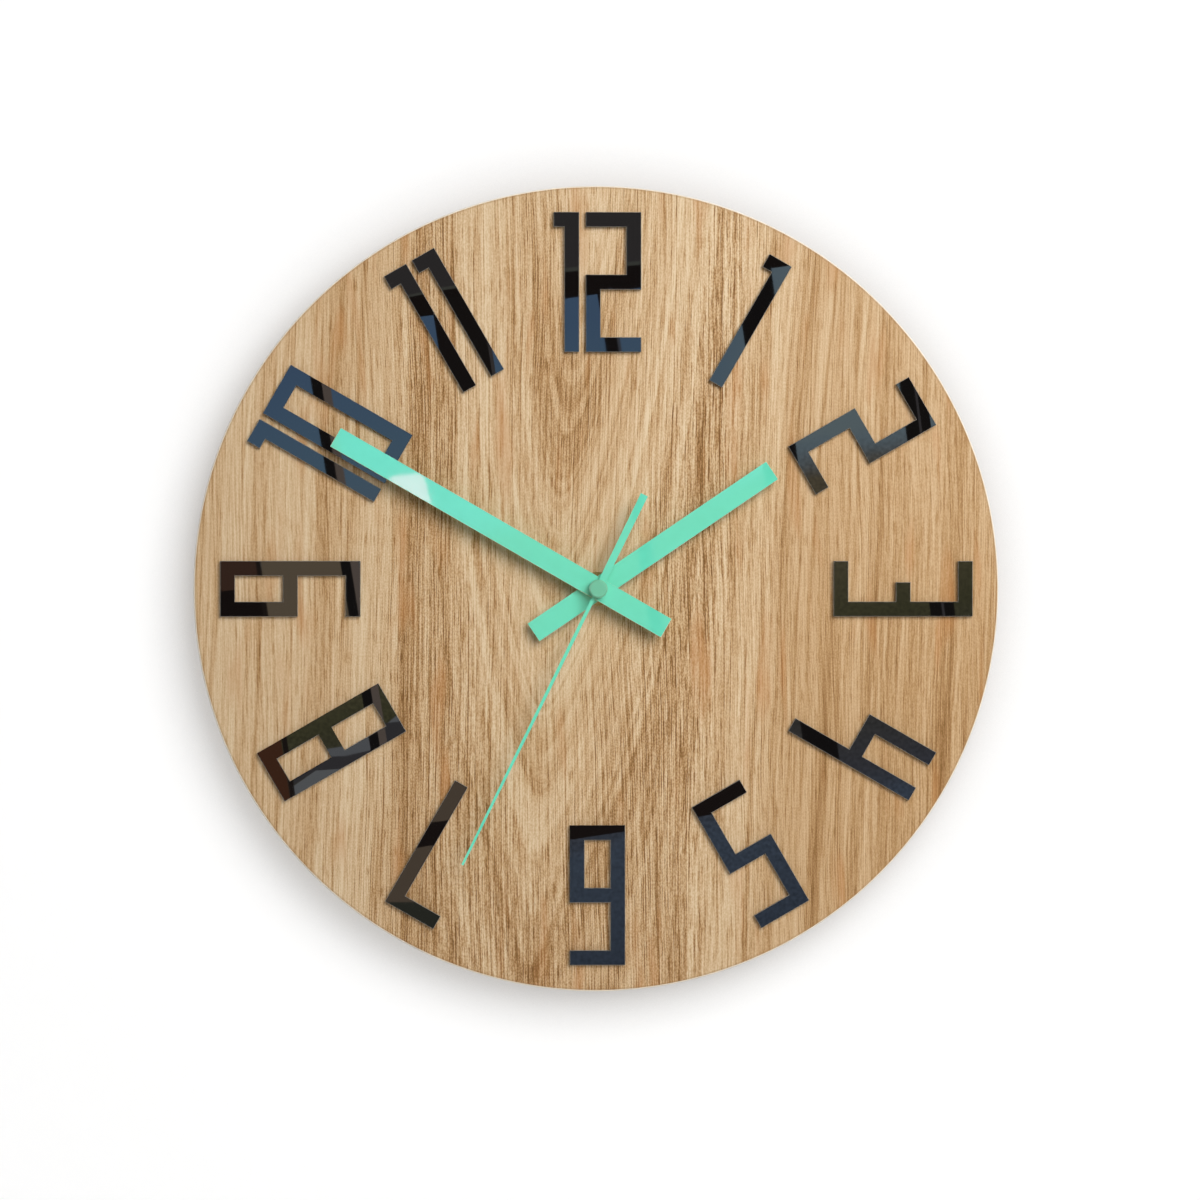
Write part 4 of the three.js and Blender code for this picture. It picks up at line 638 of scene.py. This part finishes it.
def turned_brass(tree, place):
    """Free-cutting brass turned on a lathe: warm metal with fine rings round the clock's axis, its tone darkened
    as painted shade for where the washer shows under the hands.
    """
    x, y, z = add(tree, "ShaderNodeSeparateXYZ", {0: place}, out=None)
    flat = add(tree, "ShaderNodeCombineXYZ", {"X": x, "Y": 0.0, "Z": z})
    radius = add(tree, "ShaderNodeVectorMath", {0: flat}, out="Value", operation="LENGTH")
    ring_place = add(tree, "ShaderNodeCombineXYZ", {"X": radius, "Y": y, "Z": 0.0})
    rings = speckled(tree, ring_place, 0.16)
    bump = add(tree, "ShaderNodeBump", {"Height": rings, "Strength": 0.3, "Distance": 0.02 * MM}, out="Normal")
    # Painted shade: both brass tones are darker than bare brass, to match the shade under the hands
    colour = add(tree, "ShaderNodeMix", {0: rings, COLOUR_A: linear("#957a48"), COLOUR_B: linear("#a98d57")},
                 out=COLOUR_OUT, data_type="RGBA")
    return {"Base Color": colour, "Metallic": 1.0, "Roughness": 0.34, "Normal": bump}


def nickel_plated_steel(tree, place):
    """Stamped spring steel, nickel plated: a cool bright metal with drawn lines along the strip."""
    strip = add(tree, "ShaderNodeMapping", {"Vector": place, "Scale": (0.15, 1.0, 5.0)})
    lines = speckled(tree, strip, 1.0)
    bump = add(tree, "ShaderNodeBump", {"Height": lines, "Strength": 0.2, "Distance": 0.02 * MM}, out="Normal")
    smear = speckled(tree, place, 3.0, 0.2, 0.34)
    return {"Base Color": linear("#bcbdbd"), "Metallic": 1.0, "Roughness": smear, "Normal": bump}


def sintered_magnet(tree, place):
    """Pressed and sintered magnet: dark grey and grainy, with a dull metal glint."""
    grain = speckled(tree, place, 0.3)
    colour = add(tree, "ShaderNodeMix", {0: grain, COLOUR_A: linear("#3f4246"), COLOUR_B: linear("#565a60")},
                 out=COLOUR_OUT, data_type="RGBA")
    bump = add(tree, "ShaderNodeBump", {"Height": grain, "Strength": 0.4, "Distance": 0.04 * MM}, out="Normal")
    return {"Base Color": colour, "Metallic": 0.7, "Roughness": 0.55, "Normal": bump}


def moulded_rubber(tree, place):
    """Black rubber washer: soft matt black with a dusty bloom."""
    bloom = speckled(tree, place, 1.8)
    colour = add(tree, "ShaderNodeMix", {0: bloom, COLOUR_A: linear("#161617"), COLOUR_B: linear("#242425")},
                 out=COLOUR_OUT, data_type="RGBA")
    bump = add(tree, "ShaderNodeBump", {"Height": bloom, "Strength": 0.3, "Distance": 0.04 * MM}, out="Normal")
    return {"Base Color": colour, "Roughness": 0.82, "IOR": 1.52, "Normal": bump}


# The cell from end to end, and its sleeve, in millimetres: how far the sleeve stops short of both ends, the
# raised contact at one end, the pale band beside it, and the width of a printed edge
cell_low, cell_high = (corner[0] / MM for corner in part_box("battery"))
CELL_SLEEVE_INSET = 1.1
CELL_CONTACT_LENGTH = 1.0
CELL_BAND_WIDTH = 11.0
PRINT_EDGE = 0.1


def sleeved_cell(tree, place):
    """A dry cell: a slate printed sleeve shrunk on the can, with a pale band, and bare nickel-plated ends."""
    left = cell_low + CELL_SLEEVE_INSET
    right = cell_high - CELL_SLEEVE_INSET - CELL_CONTACT_LENGTH
    band_edge = right - CELL_BAND_WIDTH
    along = add(tree, "ShaderNodeSeparateXYZ", {0: place}, out="X")
    sleeve_start = add(tree, "ShaderNodeMapRange", {
        "Value": along, "From Min": left, "From Max": left + PRINT_EDGE,
    })
    sleeve_end = add(tree, "ShaderNodeMapRange", {
        "Value": along, "From Min": right, "From Max": right - PRINT_EDGE,
    })
    sleeve = add(tree, "ShaderNodeMath", {0: sleeve_start, 1: sleeve_end}, operation="MULTIPLY")
    band = add(tree, "ShaderNodeMapRange", {
        "Value": along, "From Min": band_edge, "From Max": band_edge + PRINT_EDGE,
    })
    printed = add(tree, "ShaderNodeMix", {0: band, COLOUR_A: linear("#38424f"), COLOUR_B: linear("#b9bec4")},
                  out=COLOUR_OUT, data_type="RGBA")
    colour = add(tree, "ShaderNodeMix", {0: sleeve, COLOUR_A: linear("#c2c2bf"), COLOUR_B: printed},
                 out=COLOUR_OUT, data_type="RGBA")
    metal = add(tree, "ShaderNodeMapRange", {"Value": sleeve, "To Min": 1.0, "To Max": 0.0})
    wrinkle = speckled(tree, place, 4.0)
    bump = add(tree, "ShaderNodeBump", {"Height": wrinkle, "Strength": 0.1, "Distance": 0.03 * MM}, out="Normal")
    smear = speckled(tree, place, 7.0, 0.2, 0.3)
    return {"Base Color": colour, "Metallic": metal, "Roughness": smear, "Normal": bump}


# Threads of the glass weave, in millimetres apart
WEAVE_SIZE = 0.7


def solder_masked_board(tree, place):
    """Glass-fibre board under green solder mask: the weave shows faintly through the gloss."""
    scale = (1 / WEAVE_SIZE, 1.0, 1 / WEAVE_SIZE)
    weave_place = add(tree, "ShaderNodeMapping", {"Vector": place, "Scale": scale})
    weave = add(tree, "ShaderNodeTexChecker", {"Vector": weave_place, "Scale": 1.0}, out="Fac")
    cloud = speckled(tree, place, 1.5)
    mixed = add(tree, "ShaderNodeMath", {0: weave, 1: 0.35, 2: cloud}, operation="MULTIPLY_ADD")
    colour = add(tree, "ShaderNodeMix", {0: mixed, COLOUR_A: linear("#285c39"), COLOUR_B: linear("#33704a")},
                 out=COLOUR_OUT, data_type="RGBA")
    return {"Base Color": colour, "Roughness": 0.22, "IOR": 1.52}


def moulded_chip_resin(tree, place):
    """A blob of black epoxy resin over the bare chip: smooth and slightly dull."""
    dimple = speckled(tree, place, 0.8)
    bump = add(tree, "ShaderNodeBump", {"Height": dimple, "Strength": 0.2, "Distance": 0.04 * MM}, out="Normal")
    return {"Base Color": linear("#101010"), "Roughness": 0.36, "IOR": 1.55, "Normal": bump}


# Turns of the coil as they are drawn, in millimetres apart
TURNS_APART = 0.3


def wound_copper(tree, place):
    """Enamelled copper wire wound on the bobbin, with painted shade in the grooves between turns.

    The real wire is 0.1 mm thick. The turns are drawn 0.3 mm apart, so that they show."""
    turns_place = add(tree, "ShaderNodeMapping", {"Vector": place, "Scale": (1 / TURNS_APART, 0.05, 0.05)})
    turns = add(tree, "ShaderNodeTexWave", {"Vector": turns_place, "Scale": 0.5, "Distortion": 0.4},
                out="Fac", wave_type="BANDS", bands_direction="X")
    # Painted shade: the darker bands stand for the shaded grooves between turns
    colour = add(tree, "ShaderNodeMix", {0: turns, COLOUR_A: linear("#8a4a26"), COLOUR_B: linear("#c47a4c")},
                 out=COLOUR_OUT, data_type="RGBA")
    bump = add(tree, "ShaderNodeBump", {"Height": turns, "Strength": 0.8, "Distance": 0.1 * MM}, out="Normal")
    return {"Base Color": colour, "Metallic": 1.0, "Roughness": 0.3, "Normal": bump}


FINISHES = {
    "oak": sealed_oak_veneer,
    "black_acrylic": cast_black_acrylic,
    "mint_acrylic": mint_acrylic,
    "mint_cap": moulded_mint_cap,
    "case_plastic": moulded_black_case,
    "bridge_plastic": moulded_grey_bridge,
    "gear_plastic": moulded_acetal,
    "brass": turned_brass,
    "steel": nickel_plated_steel,
    "magnet": sintered_magnet,
    "rubber": moulded_rubber,
    "cell_sleeve": sleeved_cell,
    "board": solder_masked_board,
    "resin": moulded_chip_resin,
    "copper": wound_copper,
}


def make_finish(recipe):
    """A material named for its recipe, with the recipe's values on the shader's own sockets."""
    material = bpy.data.materials.new(recipe.__name__)
    material.use_nodes = True
    tree = material.node_tree
    tree.nodes.clear()
    metres = add(tree, "ShaderNodeTexCoord", out="Object")
    place = add(tree, "ShaderNodeVectorMath", {0: metres, "Scale": 1 / MM}, operation="SCALE")
    surface = add(tree, "ShaderNodeBsdfPrincipled", recipe(tree, place))
    add(tree, "ShaderNodeOutputMaterial", {"Surface": surface})
    return material


finishes = {slot: make_finish(recipe) for slot, recipe in FINISHES.items()}


# Edges: every piece is joined at its corners and shaded smooth over its curves, and the sharp edges of the
# listed pieces get the small round that a real cut or moulded edge has. Angles are in degrees, rounds and gaps
# in millimetres.
SHARP_ANGLE = 35
FLAT_ANGLE = 0.5
JOINED_GAP = 0.0005
ROUND_STEPS = 2
EDGE_ROUNDS = {
    "numeral": 0.25,
    "hour_hand": 0.42,
    "minute_hand": 0.42,
    "second_hand": 0.28,
    "front_case": 0.2,
    "rear_case": 0.2,
    "battery": 0.2,
    "setting_knob": 0.12,
    "hex_nut": 0.15,
    "mounting_bush": 0.1,
    "brass_washer": 0.08,
}


def make_smoothing():
    """Modifier group that joins split corners and keeps only edges over the sharp angle sharp."""
    tree = bpy.data.node_groups.new("joined_and_smooth", "GeometryNodeTree")
    tree.interface.new_socket("Geometry", in_out="INPUT", socket_type="NodeSocketGeometry")
    tree.interface.new_socket("Geometry", in_out="OUTPUT", socket_type="NodeSocketGeometry")
    shape = add(tree, "NodeGroupInput")
    for name in ("custom_normal", "sharp_edge", "sharp_face"):
        shape = add(tree, "GeometryNodeRemoveAttribute", {"Geometry": shape, "Name": name})
    shape = add(tree, "GeometryNodeMergeByDistance", {"Geometry": shape, "Distance": JOINED_GAP * MM})
    shape = add(tree, "GeometryNodeSetShadeSmooth", {"Geometry": shape, "Shade Smooth": True}, domain="FACE")
    angle = add(tree, "GeometryNodeInputMeshEdgeAngle", out="Unsigned Angle")
    sharp = math.radians(SHARP_ANGLE)
    sharp = add(tree, "FunctionNodeCompare", {0: angle, 1: sharp}, operation="GREATER_THAN")
    shape = add(tree, "GeometryNodeSetShadeSmooth", {
        "Geometry": shape, "Selection": sharp, "Shade Smooth": False,
    }, domain="EDGE")
    add(tree, "NodeGroupOutput", {0: shape})
    return tree


smoothing = make_smoothing()


def round_edges(piece, width):
    """Rounds a piece's sharp edges, once the triangles of each flat face are one face."""
    joined = piece.modifiers.new("whole_faces", "DECIMATE")
    joined.decimate_type = "DISSOLVE"
    joined.angle_limit = math.radians(FLAT_ANGLE)
    bevel = piece.modifiers.new("eased_edges", "BEVEL")
    bevel.width = width * MM
    bevel.segments = ROUND_STEPS
    bevel.limit_method = "ANGLE"
    bevel.angle_limit = math.radians(SHARP_ANGLE)
    bevel.harden_normals = True


# Every piece of the clock gets its finish and its edges
for row in frame["record"]["subparts"]:
    piece = frame["nodes"][row["node"]]
    piece.data.materials.clear()
    piece.data.materials.append(finishes[row["material_slot"]])
    piece.modifiers.new("joined_and_smooth", "NODES").node_group = smoothing
    kind = "numeral" if row["node"].startswith("numeral") else row["node"]
    if kind in EDGE_ROUNDS:
        round_edges(piece, EDGE_ROUNDS[kind])

bpy.context.scene.view_settings.view_transform = "Standard"
